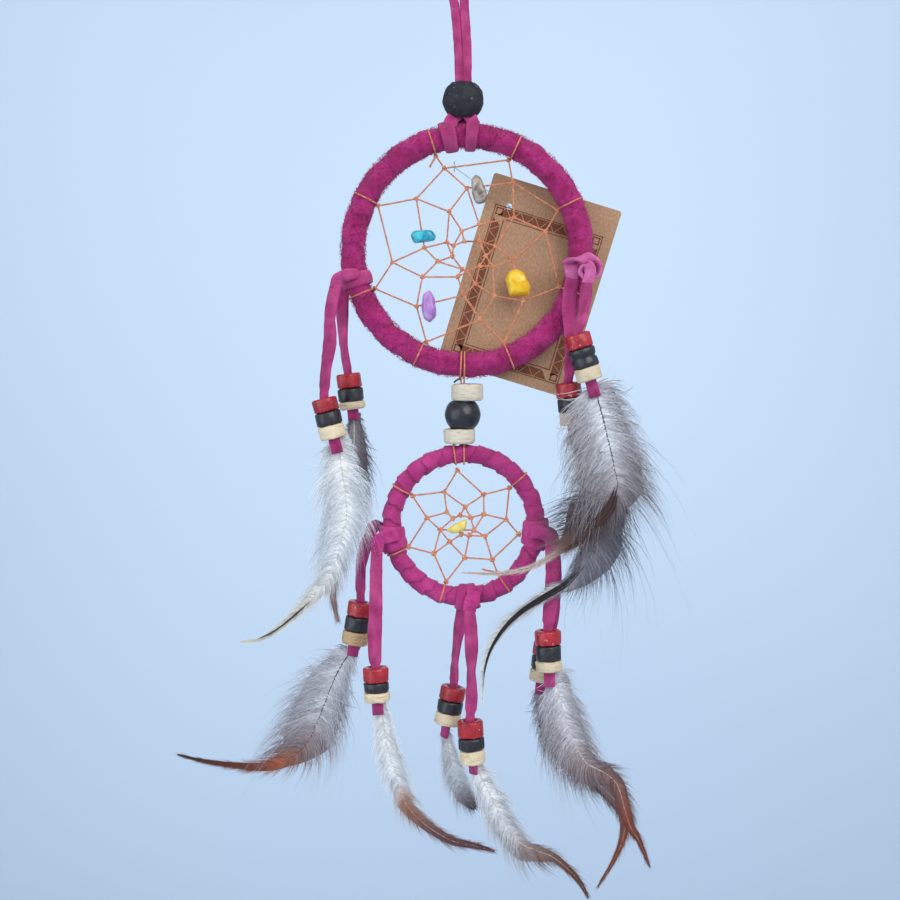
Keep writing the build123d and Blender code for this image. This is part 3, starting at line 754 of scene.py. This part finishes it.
shape = Shape()
for x_top, x_mid, x_low in ((-2.1, -1.7, -4.2), (-1, -1.3, -0.9)):
    strand = [place(x_top, -45.2, -3), place(x_top, -46.4, -1.6), place(x_mid, -50, -0.4),
              place(x_mid, -60, 0), place((x_mid + x_low) / 2, -66.5, -0.4), place(x_low, -69, -3)]
    twine(shape, smooth_path(strand, 12))
for x in (-2.2, -0.9):
    hoop_turn(shape, UPPER_HOOP, atan2(-UPPER_HOOP.ring, x), 0.45, 80)
for x in (-4.4, -1):
    hoop_turn(shape, LOWER_HOOP, atan2(LOWER_HOOP.ring, x - LOWER_X), 0.4, 70)
mesh("link_strands", shape, WAXED_THREAD, "link", "link_thread")
LINK_TAIL = [(-2.3, -45.4, -3.4), (-3.2, -45.6, -3.6), (-4, -46.1, -3.2), (-4.6, -46.6, -2.6)]
thread_tail("link_tail", LINK_TAIL, "link", DARK_THREAD)
for end, x, top, height, seed in (("top", 0.1, -47.3, 6, 3), ("bottom", -2.7, -63.4, 5.3, 8)):
    shape = Shape()
    lathe(shape, place(x, top - height), UP, ring_profile(5.7, 2.75, height, 1.1), 48, 0.3, seed)
    mesh(f"wooden_disc_{end}", shape, DISC_WOOD, "link", f"link_disc_{end}")
round_bead("middle_bead", "link_bead_black", (-1.5, -58.35), 6.45, 9.9, 1.9, BLACK_PAINT, "link", 2, 0.14)


# Card tag: the card's printed border, and a clear pin that holds it to the web

dress("tag_card", CARD)
CARD_ALONG = Vector((cos(radians(-17)), 0, sin(radians(-17))))
CARD_UP = Vector((-CARD_ALONG.z, 0, CARD_ALONG.x))
CARD_MIDDLE = place(22.6, -12.1, 6.1)
EDGE_X, TOP_Z, LOW_Z = 20.3, 24.5, -31.3
BAND, LINE, MARGIN = 4.3, 0.35, 0.6
CORNER, CORNER_LINE = 1.35, 0.45
PRINT_LIFT = 0.04


def on_card(x, z):
    return CARD_MIDDLE + CARD_ALONG * x + CARD_UP * z


def patch(shape, *corners):
    shape.faces.append(tuple(shape.add(on_card(x, z) - BACK * PRINT_LIFT) for x, z in corners))


def outline(shape, left, low, right, top, line):
    """Four printed bars round the inside of a rectangle."""
    for x0, z0, x1, z1 in ((left, top - line, right, top), (left, low, right, low + line),
                           (left, low, left + line, top), (right - line, low, right, top)):
        patch(shape, (x0, z0), (x1, z0), (x1, z1), (x0, z1))


shape = Shape()
for inset in (0, BAND):
    outline(shape, inset - EDGE_X, LOW_Z + inset, EDGE_X - inset, TOP_Z - inset, LINE)
for side in (-1, 1):
    count = 6
    pitch = (2 * EDGE_X - 2 * BAND) / count
    near, far = MARGIN, BAND - MARGIN
    outer, inner = (TOP_Z - near, TOP_Z - far) if side > 0 else (LOW_Z + near, LOW_Z + far)
    for i in range(count):
        x = -EDGE_X + BAND + pitch * i
        half = pitch / 2
        patch(shape, (x + LINE, outer), (x + pitch - LINE, outer), (x + half, inner))
        patch(shape, (x - half + LINE, inner), (x + half - LINE, inner), (x, outer))
    count = 9
    pitch = (TOP_Z - LOW_Z - 2 * BAND) / count
    outer, inner = side * (EDGE_X - near), side * (EDGE_X - far)
    for i in range(count):
        z = LOW_Z + BAND + pitch * i
        half = pitch / 2
        patch(shape, (outer, z + LINE), (outer, z + pitch - LINE), (inner, z + half))
        patch(shape, (inner, z - half + LINE), (inner, z + half - LINE), (outer, z))
    for z in (TOP_Z - BAND / 2, LOW_Z + BAND / 2):
        x = side * (EDGE_X - BAND / 2)
        outline(shape, x - CORNER, z - CORNER, x + CORNER, z + CORNER, CORNER_LINE)
mesh("card_border", shape, PRINT, "tag", smooth=False)

PIN_LOOP, PIN_THICK = 1.7, 0.2
hole = on_card(-15.3, 24.9)
behind = hole + BACK * 0.8
shape = Shape()
ring_path = []
for i in range(32):
    a = 2 * pi * i / 32
    ring_path.append(place(-4.5, 29.8) + Vector((0, PIN_LOOP * cos(a), PIN_LOOP * sin(a))))
tube(shape, ring_path, PIN_THICK, 8, closed=True)
tube(shape, smooth_path([place(-4.5, 29.8, 1.7), place(-1.9, 28.2, 4.6), hole + Vector((-2.6, -1.5, 1.8)),
                         hole - BACK * 0.6, behind], 8), PIN_THICK, 8)
tube(shape, [behind + CARD_ALONG * x for x in (-4.5, -2, 0, 2, 4.5)], PIN_THICK * 2, 8)
mesh("clear_pin", shape, CLEAR, "tag", "tag_pin")


# Knots of the tails: a band of suede round the hoop, and the folds that the laces come out of


def tied_band(label, hoop, angle, bands, folds, material):
    """bands are offset, width, slant and clearance; folds are places, widths and twist."""
    shape = Shape()
    for offset, width, slant, clear in bands:
        turn = angle + offset
        wrap_strip(shape, hoop, turn, width, 1.2, 0, -362, slant, clear, mottle(0.9, 1.15, turn))
    for spots, widths, twist in folds:
        fold(shape, spots, widths, twist, mottle(0.88, 1.15, spots[0][0]))
    mesh(f"{label}_tie", shape, material, hoop.body, f"knot_{label}")


tied_band("upper_left", UPPER_HOOP, 194.5, [(0, 5.4, 1, 0.1)], [
    ([(-38.6, -8, -5.4), (-42.4, -8.6, -7), (-45.6, -10, -7.2), (-46.4, -12.9, -6.65)],
     [3.6, 4.4, 4.4, 4.2], [-70, -50, -20, 0]),
    ([(-38.8, -8, 5.4), (-42, -8.2, 7), (-44.6, -9.6, 7.2), (-45.1, -12.9, 6.65)],
     [3.6, 4.4, 4.2, 4], [-70, -50, -20, 0])], LACE_SUEDE)
tied_band("upper_right", UPPER_HOOP, -8.2, [(0.6, 5.6, -1.2, 0.1)], [
    ([(35.4, -4.6, -5.6), (38.4, -3, -8.2), (42.6, -3.2, -9.6), (45.6, -5.6, -9.8), (45, -9, -10),
      (42.2, -9.6, -10.4), (40.2, -7.2, -10.8), (42, -5.4, -12), (43, -8, -12.8), (41.8, -11.9, -12.8)],
     [4.6, 4.8, 4.6, 4.2, 4], [10, 30, 50, 70, 50, 20, 0]),
    ([(37, -4.6, -5.4), (36.8, -6.6, -6.4), (37.2, -10.1, -6.1)], [4.6, 4.6, 4.2], [0, 20, 0])], PALE_SUEDE)
tied_band("lower_left", LOWER_HOOP, 190, [(-4, 4.6, 1, 0.1), (4.6, 4.4, -0.8, 0.2)], [
    ([(-24.6, -101, -4.4), (-28.6, -101.6, -6), (-31.4, -103, -6.2), (-32.2, -106, -5.7)],
     [4.6, 5, 4.8, 4.6], [-60, -40, -10, 0]),
    ([(-25, -98.6, 4.4), (-30, -98.6, 6), (-34, -99.8, 6.2), (-35.2, -103, 5.7)],
     [4.6, 4.8, 4.6, 4.4], [-60, -40, -10, 0])], LOWER_SUEDE)
tied_band("lower_bottom", LOWER_HOOP, -87.4, [(-3.4, 4, 1.2, 0.1), (3.6, 4.2, -1, 0.15)], [
    ([(2.6, -121.6, -4.6), (2, -124.4, -6), (1.2, -126.6, -6.2), (0.9, -128.7, -5.7)],
     [5, 5.2, 5, 4.8], [0, 8, 14, 0]),
    ([(-3.4, -121.6, 4.6), (-2.6, -124.4, 6), (-1.4, -126.6, 6.2), (-1.2, -128.7, 5.7)],
     [5, 5, 4.6, 4.4], [0, 8, 14, 0])], LOWER_SUEDE)
RIGHT_BANDS = [(-6, 4.2, 1, 0.1), (0.2, 4.4, -1.6, 0.25), (6.2, 4.2, 0.8, 0.1)]
tied_band("lower_right", LOWER_HOOP, -6.4, RIGHT_BANDS, [
    ([(23, -100, -4.6), (27, -100.4, -6.2), (30.2, -102.6, -6.4), (30.6, -106.4, -5.7)],
     [4.6, 5, 5, 5], [60, 40, 10, 0]),
    ([(23.4, -100.6, 4.6), (27.6, -100.8, 6.2), (31, -102.8, 6.4), (31.4, -106.4, 5.7)],
     [4.6, 5, 4.8, 4.8], [60, 40, 10, 0])], LOWER_SUEDE)


# Tails

BEAD_RADIUS, BEAD_BORE, BEAD_GAP, QUILL_BACK = 4.6, 2.3, 0.1, 1.7
# depth, lean of the beads to the right, bead heights, length below them and CAD length of the lace;
# the lace's places; its widths and its twist
TAILS = {
    "upper_left_back": (
        6.65, 7, (5.2, 4.8, 2.8), 4, 48.4,
        [(-45.1, -12.5), (-45, -22.3), (-44.8, -33), (-43, -43.8)],
        [5, 5, 4.6, 4.2], [0, 40, 60, 50, 20, 0]),
    "upper_left_front": (
        -6.65, 14, (4.8, 4.8, 4.8), 5.5, 60.1,
        [(-46.4, -12.5), (-48.9, -21.6), (-48.2, -31), (-50.1, -41.6), (-50.9, -52.2)],
        [4.4, 4.8, 5.2, 5, 4.4], [20, 40, 20, 50, 30, 10, 0]),
    "upper_right_front": (
        -12.8, 16.7, (5.2, 6.8, 4.7), 6.3, 41.2,
        [(41.8, -11.5), (41.2, -20.5), (38.35, -29.3)],
        [4.2, 5, 4.6, 4.4], [30, 60, 40, 10, 0]),
    "upper_right_back": (
        -6.1, 8, (5.2, 5, 4.5), 5, 57.1,
        [(37.2, -9.7), (35.4, -18.7), (37, -28.4), (37.2, -38), (35.7, -46.7)],
        [4.6, 5, 4.6, 4.2], [0, 8, 12, 6, 0]),
    "lower_left_back": (
        5.7, -9, (5.4, 5.4, 4.8), 4.6, 45.6,
        [(-35.2, -102.6), (-38.3, -110), (-38.9, -118.5), (-38.7, -127.2)],
        [4.4, 5, 4.8, 4.4], [0, 50, 40, 20, 0]),
    "lower_left_front": (
        -5.7, 3, (5.2, 3.6, 3.4), 5, 60.9,
        [(-32.2, -105.6), (-32.7, -117), (-32.6, -128), (-33.3, -139), (-32.9, -149.1)],
        [4.2, 4.8, 5, 5.2, 4.4], [0, 16, 6, 20, 10, 0]),
    "bottom_back": (
        5.7, -11, (5.2, 4.6, 4.4), 5, 49.9,
        [(-1.2, -128.3), (-2.9, -138.5), (-4.3, -148.5), (-4.6, -158.6)],
        [4.4, 5.2, 5.2, 5.2, 4], [10, 60, 72, 50, 0, 60]),
    "bottom_front": (
        -5.7, 4, (6, 4.6, 5), 4, 60,
        [(0.9, -128.3), (1.8, -138.5), (1.5, -148.5), (1.9, -158.5), (1.1, -168.5)],
        [4.2, 5.4, 5.2, 5.8, 3.8], [0, 30, 66, 50, 8, 10, 55]),
    "lower_right_front": (
        -5.7, 2.6, (5.2, 5.6, 3.8), 6, 50.5,
        [(30.6, -106), (31.1, -116), (29.9, -126), (29, -135.6)],
        [5.4, 5.4, 5, 4.4], [0, 10, 24, 10, 0]),
    "lower_right_back": (
        5.7, -6, (5, 5, 4.5), 5, 56.1,
        [(31.4, -106), (32.5, -115), (32, -124.5), (31.9, -133.5), (29.1, -142)],
        [5, 5, 4.8, 4.4], [0, 20, 30, 10, 0]),
}
BEAD_LOOKS = (("red", RED_PAINT), ("black", BLACK_PAINT), ("bare", BARE_WOOD))


def tail_beads(label, top, down, heights, body):
    """The red, the black and the bare wood bead, each its own piece."""
    pieces = []
    start = top.copy()
    for (kind, material), height in zip(BEAD_LOOKS, heights):
        shape = Shape()
        seed = rng.uniform(0, 50)
        outer = BEAD_RADIUS * rng.uniform(0.97, 1.03)
        if kind == "bare":
            outer *= 1.03
            if label == "lower_left_back":
                material = TAN_WOOD
        profile = ring_profile(outer, BEAD_BORE, height, 0.75)
        if kind == "black" and label == "upper_right_front":
            middle = height / 2
            profile[5:5] = [(outer, middle - 0.7), (outer - 0.7, middle), (outer, middle + 0.7)]
        level = rng.uniform(0.9, 1.1)
        lathe(shape, start, down, profile, 48, 0.34, seed, (level,) * 3)
        pieces.append(mesh(f"{kind}_bead_{label}", shape, material, body))
        start += down * (height + BEAD_GAP)
    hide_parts(f"beads_{label}")
    return pieces


# Feathers. A spine is x, z and the vane's reach to the right and to the left of it; a shade is the
# fraction along, the colour near the shaft, and the colour at the vane's edge.

SPINES = {
    "upper_left_back": [(-41, -60, 4, 3), (-41.3, -72.7, 9, 6), (-43.8, -90.7, 8, 7), (-47.4, -108.7, 5, 5),
        (-49.2, -123.1, 2, 2), (-47.4, -135, 0.6, 0.6)],
    "upper_left_front": [(-46, -67.7, 6, 8), (-44.6, -78.5, 10, 12), (-43.1, -89.3, 10, 13),
        (-43.5, -96.8, 8, 11), (-46.4, -108.7, 6, 7), (-50, -117.7, 4, 5), (-57.5, -126, 2.5, 3),
        (-65.8, -133.6, 1.5, 1.6), (-73.7, -138.8, 1, 1), (-81.1, -140, 0.4, 0.4)],
    "upper_right_front": [(45.8, -51.5, 11, 17), (49.8, -67.3, 15, 21), (51.9, -77, 14, 20),
        (52.6, -84.2, 9, 20), (46.5, -92.9, 8, 14), (39.3, -101.2, 3, 7), (32.1, -105.8, 1.6, 1.6),
        (22.4, -111.1, 1.2, 1.2), (10.5, -113.4, 0.8, 0.8), (-1.7, -113, 0.3, 0.3)],
    "upper_right_back": [(39, -64, 8, 6), (44.4, -72, 14, 8), (47.2, -83.5, 15, 9), (46.5, -94.3, 15.5, 9),
        (45.1, -105.1, 12, 6), (38.6, -115.9, 5, 3), (30.7, -120.2, 2.6, 2.6), (22.4, -126, 2.6, 2.8),
        (15.2, -131.4, 2.2, 2.6), (9.8, -137.9, 1.8, 2.2), (6.9, -144.4, 1, 1.2), (5.5, -150.8, 0.8, 0.8),
        (5.5, -160.6, 0.3, 0.3)],
    "lower_left_back": [(-42, -145, 4, 6), (-47.1, -153, 9, 14), (-50.7, -161.3, 13, 17),
        (-55, -172.1, 13, 16), (-58.6, -179.8, 8, 12), (-65.1, -185.8, 4, 6), (-74.6, -189.4, 2.2, 3),
        (-87.8, -188.5, 1.6, 1.6), (-98.6, -186.8, 1, 1), (-106.5, -184.7, 0.4, 0.4)],
    "lower_left_front": [(-31.2, -162.7, 3, 3), (-29.1, -177.1, 6, 6), (-26.2, -187.9, 5.5, 5.5),
        (-23.7, -195.1, 5, 5), (-21.2, -201.2, 4, 4), (-14.3, -208.1, 3, 3), (-5.3, -213.5, 2.4, 2.4),
        (3.7, -215.6, 1.6, 1.6), (10, -217.4, 0.4, 0.4)],
    "bottom_back": [(-7.5, -177.1, 3, 3), (-5.3, -188.6, 5.5, 5.5), (-1.7, -198.4, 5, 5),
        (3, -205.2, 0.6, 0.6)],
    "bottom_front": [(3.7, -186.5, 4, 4), (8, -195.5, 6.5, 7), (13.4, -205.9, 5, 8), (19.5, -214.2, 3.5, 8),
        (24.9, -216.9, 3, 6), (31.4, -219.6, 2.4, 2.4), (37.5, -224.6, 1.8, 1.8), (41.5, -229.3, 1.2, 1.2),
        (44.4, -234.7, 0.4, 0.4)],
    "lower_right_front": [(32.1, -154.1, 7, 8), (33.9, -161.3, 9, 11), (37.5, -173.5, 8, 12),
        (42.9, -184, 6, 10), (50.5, -188.6, 4, 6), (54.8, -193, 4, 4), (57.3, -201.2, 3.5, 3.5),
        (59.5, -208.1, 2.5, 2.5), (63.1, -214.2, 1.4, 1.4), (66.7, -223.2, 0.4, 0.4)],
    "lower_right_back": [(28.2, -159.1, 4, 5), (30.7, -169.9, 6, 8), (35.7, -181.4, 6, 8),
        (44.4, -191.5, 5, 5), (52.3, -198.7, 4, 4), (58, -206.6, 3, 3), (58.4, -214.9, 2, 2),
        (55.2, -223.9, 1.2, 1.2), (49, -234.7, 0.4, 0.4)],
}
# The share of a feather that is downy, where it isn't half; and its lean to the front in degrees
FLUFF = {"upper_left_front": 0.62, "upper_right_front": 0.6, "lower_left_front": 0.45, "bottom_back": 0.9,
         "bottom_front": 0.6, "upper_left_back": 0.7}
LEANS = {"upper_right_front": 5, "upper_right_back": 6}
DARK_SHAFTS = ("upper_right_front", "lower_left_back", "upper_right_back")
DARK_SHAFT, PALE_SHAFT = (70, 60, 62), (214, 206, 196)
SPAN = 24  # points of a feather's path from one place of its spine to the next
FIRST_BARB, BARB_GAP = 1.2, 0.14
WHITE = (240, 243, 247)
SHADES = {
    "upper_left_back": [(0, (150, 146, 154), (110, 104, 112)), (0.5, (120, 112, 120), (86, 78, 86)),
        (0.8, (190, 168, 166), (160, 130, 130)), (1, (176, 150, 150), (150, 120, 120))],
    "upper_left_front": [(0, WHITE, (214, 222, 232)), (0.45, (222, 228, 236), (206, 214, 226)),
        (0.7, (226, 226, 220), (222, 222, 214)), (1, (232, 228, 210), (228, 224, 208))],
    "upper_right_front": [(0, (214, 218, 226), (150, 144, 152)), (0.22, (206, 210, 218), (126, 118, 124)),
        (0.38, (150, 146, 154), (96, 88, 92)), (0.5, (58, 44, 44), (104, 96, 102)),
        (0.62, (96, 66, 58), (150, 124, 118)), (0.7, (214, 190, 182), (206, 188, 186)),
        (1, (232, 216, 208), (228, 212, 206))],
    "upper_right_back": [(0, (150, 150, 160), (130, 130, 140)), (0.3, (124, 124, 134), (104, 106, 118)),
        (0.48, (134, 136, 148), (96, 100, 114)), (0.56, (236, 236, 236), (150, 152, 160)),
        (1, (240, 240, 238), (236, 238, 238))],
    "lower_left_back": [(0, (206, 210, 220), (190, 194, 206)), (0.3, (190, 192, 202), (170, 170, 180)),
        (0.46, (130, 112, 112), (150, 144, 152)), (0.58, (168, 92, 66), (140, 104, 98)),
        (0.75, (120, 66, 54), (110, 62, 52)), (1, (84, 50, 46), (84, 50, 46))],
    "lower_left_front": [(0, WHITE, WHITE), (0.4, (220, 226, 234), (210, 214, 222)),
        (0.52, (160, 110, 92), (190, 178, 178)), (0.7, (118, 84, 86), (130, 100, 102)),
        (1, (92, 64, 66), (92, 64, 66))],
    "bottom_back": [(0, WHITE, WHITE), (0.6, (214, 220, 228), (206, 212, 222)),
        (1, (92, 80, 84), (92, 80, 84))],
    "bottom_front": [(0, WHITE, (216, 222, 230)), (0.42, (206, 210, 216), (180, 182, 190)),
        (0.58, (150, 128, 122), (120, 108, 112)), (0.8, (116, 78, 64), (110, 78, 68)),
        (1, (96, 58, 46), (96, 58, 46))],
    "lower_right_front": [(0, (222, 226, 234), (178, 176, 184)), (0.3, (196, 194, 202), (140, 134, 140)),
        (0.5, (136, 112, 112), (104, 92, 98)), (0.75, (150, 84, 66), (92, 60, 62)),
        (1, (120, 60, 44), (110, 56, 42))],
    "lower_right_back": [(0, (206, 208, 216), (160, 158, 166)), (0.35, (170, 164, 172), (120, 114, 120)),
        (0.6, (130, 98, 98), (96, 76, 82)), (0.8, (160, 88, 66), (110, 64, 58)),
        (1, (130, 66, 48), (120, 60, 44))],
}


def beside(head):
    """The direction across a shaft, to the right where the shaft points down."""
    return Vector((-head.z, 0, head.x)).normalized()


def reach_at(reaches, i):
    """The vane's reach to the right and to the left at point i of the path."""
    where = min(i / SPAN, len(reaches) - 1.001)
    k = int(where)
    return [a + (b - a) * (where - k) for a, b in zip(reaches[k], reaches[k + 1])]


def shade_at(stops, share, out):
    for (t0, near0, edge0), (t1, near1, edge1) in zip(stops, stops[1:]):
        if share <= t1:
            t = (share - t0) / (t1 - t0)
            return mix(mix(near0, near1, t), mix(edge0, edge1, t), out)
    return mix(stops[-1][1], stops[-1][2], out)


def scaled(colour, level):
    return linear(tuple(c * level for c in colour))


def barb(shape, root, along, outward, reach, sweep, width, lift, stops, share, level, draw):
    """One barb: a thin curved strip that leaves the shaft and bends towards the tip."""
    count = 5
    left, right = [], []
    droop = draw.uniform(-0.5, 0.5) * lift
    for k in range(count + 1):
        t = k / count
        ahead = along * (reach * sweep * (0.45 * t + 0.55 * t * t))
        spot = root + outward * (reach * sin(t * 1.35) / 0.975) + ahead
        spot = spot + BACK * (droop * t * t * reach * 0.25)
        half = along * (width * (1 - 0.8 * t) / 2)
        colour = scaled(shade_at(stops, share, t ** 1.3), level)
        left.append(shape.add(spot - half, colour))
        right.append(shape.add(spot + half, colour))
    for k in range(count):
        shape.faces.append((left[k], right[k], right[k + 1], left[k + 1]))


def under_vane(shape, path, heads, reaches, stops, seed):
    """The close inner part of the vane, behind the loose barbs."""
    rows = []
    last = len(path) - 1
    for i in range(0, len(path), 2):
        right, left = reach_at(reaches, i)
        across = beside(heads[i])
        row = []
        for step in range(-4, 5):
            reach = (right if step > 0 else left) * 0.62
            spot = path[i] + across * (reach * step / 4) + heads[i] * (reach * abs(step) / 4 * 0.9)
            spot = spot + BACK * (0.3 + 0.35 * noise.noise(spot * 0.35))
            level = 0.94 + 0.1 * noise.noise(Vector((i * 0.15, step * 0.8, seed)))
            row.append(shape.add(spot, scaled(shade_at(stops, i / last, abs(step) / 4 * 0.6), level)))
        rows.append(row)
    shape.grid(rows, closed_cols=False)


def plume(label, root, down, body, seed):
    """A shaft, the close inner vane, and loose barbs on both sides, with down over the first part."""
    draw = random.Random(seed)
    stops = SHADES[label]
    lean = sin(radians(LEANS.get(label, 0)))
    spine = [root + down * 0.5]
    reaches = [(SPINES[label][0][2] * 0.7, SPINES[label][0][3] * 0.7)]
    for x, z, right, left in SPINES[label]:
        spot = place(x, z, root.y)
        spot.y -= (root.z - spot.z) * lean
        spine.append(spot)
        reaches.append((right, left))
    path = smooth_path(spine, SPAN)
    heads = directions(path)
    shape = Shape()
    shaft_tint = linear(DARK_SHAFT if label in DARK_SHAFTS else PALE_SHAFT)
    tube(shape, [root - down * 3, root] + path[2::3], lambda s: 0.32 * (1 - 0.85 * s), 6, shaft_tint)
    total = sum((b - a).length for a, b in zip(path, path[1:]))
    under_vane(shape, path, heads, reaches, stops, seed)
    walked = 0.0
    next_barb = FIRST_BARB
    for i, along in enumerate(heads[:-1]):
        walked += (path[i + 1] - path[i]).length
        across = beside(along)
        right, left = reach_at(reaches, i)
        while walked > next_barb:
            share = next_barb / total
            next_barb += BARB_GAP * draw.uniform(0.7, 1.3)
            downy = max(0, 1 - share / FLUFF.get(label, 0.5))
            clump = noise.noise(Vector((next_barb * 0.35, seed, 0)))
            for reach, outward in ((right, across), (left, -across)):
                if across.x < 0:
                    outward = -outward
                size = max(reach * (0.86 + 0.4 * clump + draw.uniform(-0.25, 0.2)), 0.35)
                sweep = 1.0 + 4.2 / (reach + 0.6) + 0.6 * clump + draw.uniform(-0.4, 0.4) * (1 + 1.3 * downy)
                if share < 0.12:
                    sweep *= 0.35 + share * 5
                if draw.random() < 0.07:
                    size *= 1.3
                level = 1.03 + draw.uniform(-0.12, 0.08) + 0.08 * clump
                base = path[i].lerp(path[i + 1], 0.5) + BACK * draw.uniform(-0.25, 0.25)
                width = 0.28 + 0.2 * min(reach / 6, 1)
                barb(shape, base, along, outward, size, sweep, width, 1.0 + 1.6 * downy, stops, share, level,
                     draw)
                for _ in range(2):
                    if draw.random() < 1.6 * downy:
                        barb(shape, base, along, outward, size * draw.uniform(0.25, 1.05),
                             sweep + draw.uniform(-1.1, 1.3), draw.uniform(0.2, 0.5), 3.2, stops, share,
                             level * 1.04, draw)
    mesh(f"plume_{label}", shape, PLUME, body, f"feather_{label}")


def stripe(name, label, spots, depth, lean, widths, colour):
    """A dark band of fine barbs beside the shaft. depth is its y at its first place."""
    draw = random.Random(name)
    shape = Shape()
    first = spots[0][1]
    path = smooth_path([place(x, z, depth - (first - z) * sin(radians(lean))) for x, z in spots], 12)
    heads = directions(path)
    narrow = max(widths) / 7
    for k in range(9):
        start, end = draw.uniform(0, 0.16), draw.uniform(0.8, 1)
        tint = scaled(colour, draw.uniform(0.75, 1.35))
        strand = []
        for i, (point, head) in enumerate(zip(path, heads)):
            share = i / (len(path) - 1)
            if start <= share <= end:
                strand.append(point + beside(head) * ((k / 8 - 0.5) * steps(widths, share) * 0.8))
        taper = [narrow * 0.3, narrow, narrow, narrow * 0.2]
        ribbon(shape, strand, taper, 0.08, [0, 0], lambda share, u: tint)
    mesh(name, shape, PLUME, f"tail_{label}")


BLACK_BAND = [(42, -110), (36, -117.3), (28, -122.3), (20, -127.3), (13.5, -133.3), (8.5, -141), (6.2, -149),
              (5.7, -156)]
BROWN_BAND = [(52.4, -83), (50.4, -90), (46.2, -95), (40.8, -100.4), (34, -105.2)]
DARK_MARKS = [(-56, -124.8), (-63, -131.2), (-70, -136.4), (-77, -139.4)]
stripe("black_band", "upper_right_back", BLACK_BAND, -10.1, 6, [1, 2.4, 2.4, 1.9, 1.3, 0.9, 0.5, 0.3],
       (34, 30, 34))
stripe("brown_band", "upper_right_front", BROWN_BAND, -15, 5, [0.8, 4.4, 3.8, 1.8, 0.5], (62, 42, 40))
stripe("dark_marks", "upper_left_front", DARK_MARKS, -5.6, 0, [0.3, 0.8, 0.5, 0.7, 0.3], (60, 58, 62))

WIDTH_IN_BEADS, WIDTH_BELOW_BEADS = 3.3, 4.1


def lace_widths(widths, in_beads, out_of_beads):
    """41 widths along a lace, from the shares of its length at which it enters and leaves its beads."""
    spread = []
    for i in range(41):
        share = i / 40
        if share < in_beads - 0.03:
            spread.append(steps(widths, share / in_beads))
        else:
            spread.append(WIDTH_IN_BEADS if share < out_of_beads else WIDTH_BELOW_BEADS)
    return spread


for number, (label, values) in enumerate(TAILS.items()):
    depth, lean_right, heights, tip, length, spots, widths, twist = values
    body = f"tail_{label}"
    down = Vector((sin(radians(lean_right)), 0, -cos(radians(lean_right))))
    top = place(*spots[-1], depth)
    stack = sum(heights) + 2 * BEAD_GAP
    controls = [place(x, z, depth) for x, z in spots] + [top + down * 2, top + down * (stack + tip)]
    path = nurbs_path(f"{label}_route", controls)
    total = 0.0
    for here, there in zip(path, path[1:]):
        total += (there - here).length
    spread = lace_widths(widths, (total - stack - tip) / total, (total - tip) / total)
    shape = Shape()
    ribbon(shape, path, spread, 1.3, twist, mottle(0.82, 1.16, number * 3.7))
    strip = mesh(f"strip_{label}", shape, LACE_SUEDE, body, f"lace_{label}")
    pieces = tail_beads(label, top, down, heights, body)
    plume(label, top + down * (stack + 0.5) + BACK * QUILL_BACK, down, body, 10 + number)


# Stage, light and camera


def stage_plane(name, corners, dark, light):
    data = bpy.data.meshes.new(name)
    data.from_pydata(corners, [], [(0, 1, 2, 3)])
    look = Look(name, 0.95)
    look.colour(look.ramp(look.noise(0.6, 1.0), [(0.3, dark), (0.7, light)]), tinted=False)
    data.materials.append(look.material)
    obj = bpy.data.objects.new(name, data)
    bpy.context.collection.objects.link(obj)


WALL_CORNERS = [(-5, 2.3, -2.5), (5, 2.3, -2.5), (5, 2.3, 3.5), (-5, 2.3, 3.5)]
FLOOR_CORNERS = [(-5, -4, -1.2), (5, -4, -1.2), (5, 2.4, -1.2), (-5, 2.4, -1.2)]
stage_plane("backdrop", WALL_CORNERS, (172, 188, 206), (180, 196, 212))
stage_plane("floor", FLOOR_CORNERS, (180, 196, 212), (190, 204, 218))


def area_light(name, spot, target, size, power, colour):
    data = bpy.data.lights.new(name, "AREA")
    data.size = size
    data.energy = power
    data.color = colour
    obj = bpy.data.objects.new(name, data)
    obj.location = spot
    obj.rotation_euler = (Vector(target) - Vector(spot)).to_track_quat("-Z", "Y").to_euler()
    bpy.context.collection.objects.link(obj)


area_light("window", (0.9, -1.3, 0.9), (0, 0, -0.18), 1.4, 22, (1.0, 0.98, 0.97))
area_light("fill", (-1.4, -1.0, 0.0), (0, 0, -0.2), 1.6, 12, (0.93, 0.97, 1.0))
area_light("wall", (0, 1.2, -0.25), (0, 2.3, -0.5), 2.5, 24, (0.97, 0.99, 1.0))
world = bpy.data.worlds.new("room")
world.use_nodes = True
sky = world.node_tree.nodes["Background"]
sky.inputs["Color"].default_value = (0.88, 0.94, 1.0, 1.0)
sky.inputs["Strength"].default_value = 0.6
bpy.context.scene.world = world

camera_data = bpy.data.cameras.new("camera")
camera_data.lens = 66
camera = bpy.data.objects.new("camera", camera_data)
aim = Vector((-0.00175, 0.0, -0.1791))
camera.location = aim + Vector((0.0, -0.592, 0.046))
camera.rotation_euler = (aim - camera.location).to_track_quat("-Z", "Y").to_euler()
bpy.context.collection.objects.link(camera)
bpy.context.scene.camera = camera
bpy.context.scene.view_settings.view_transform = "Standard"
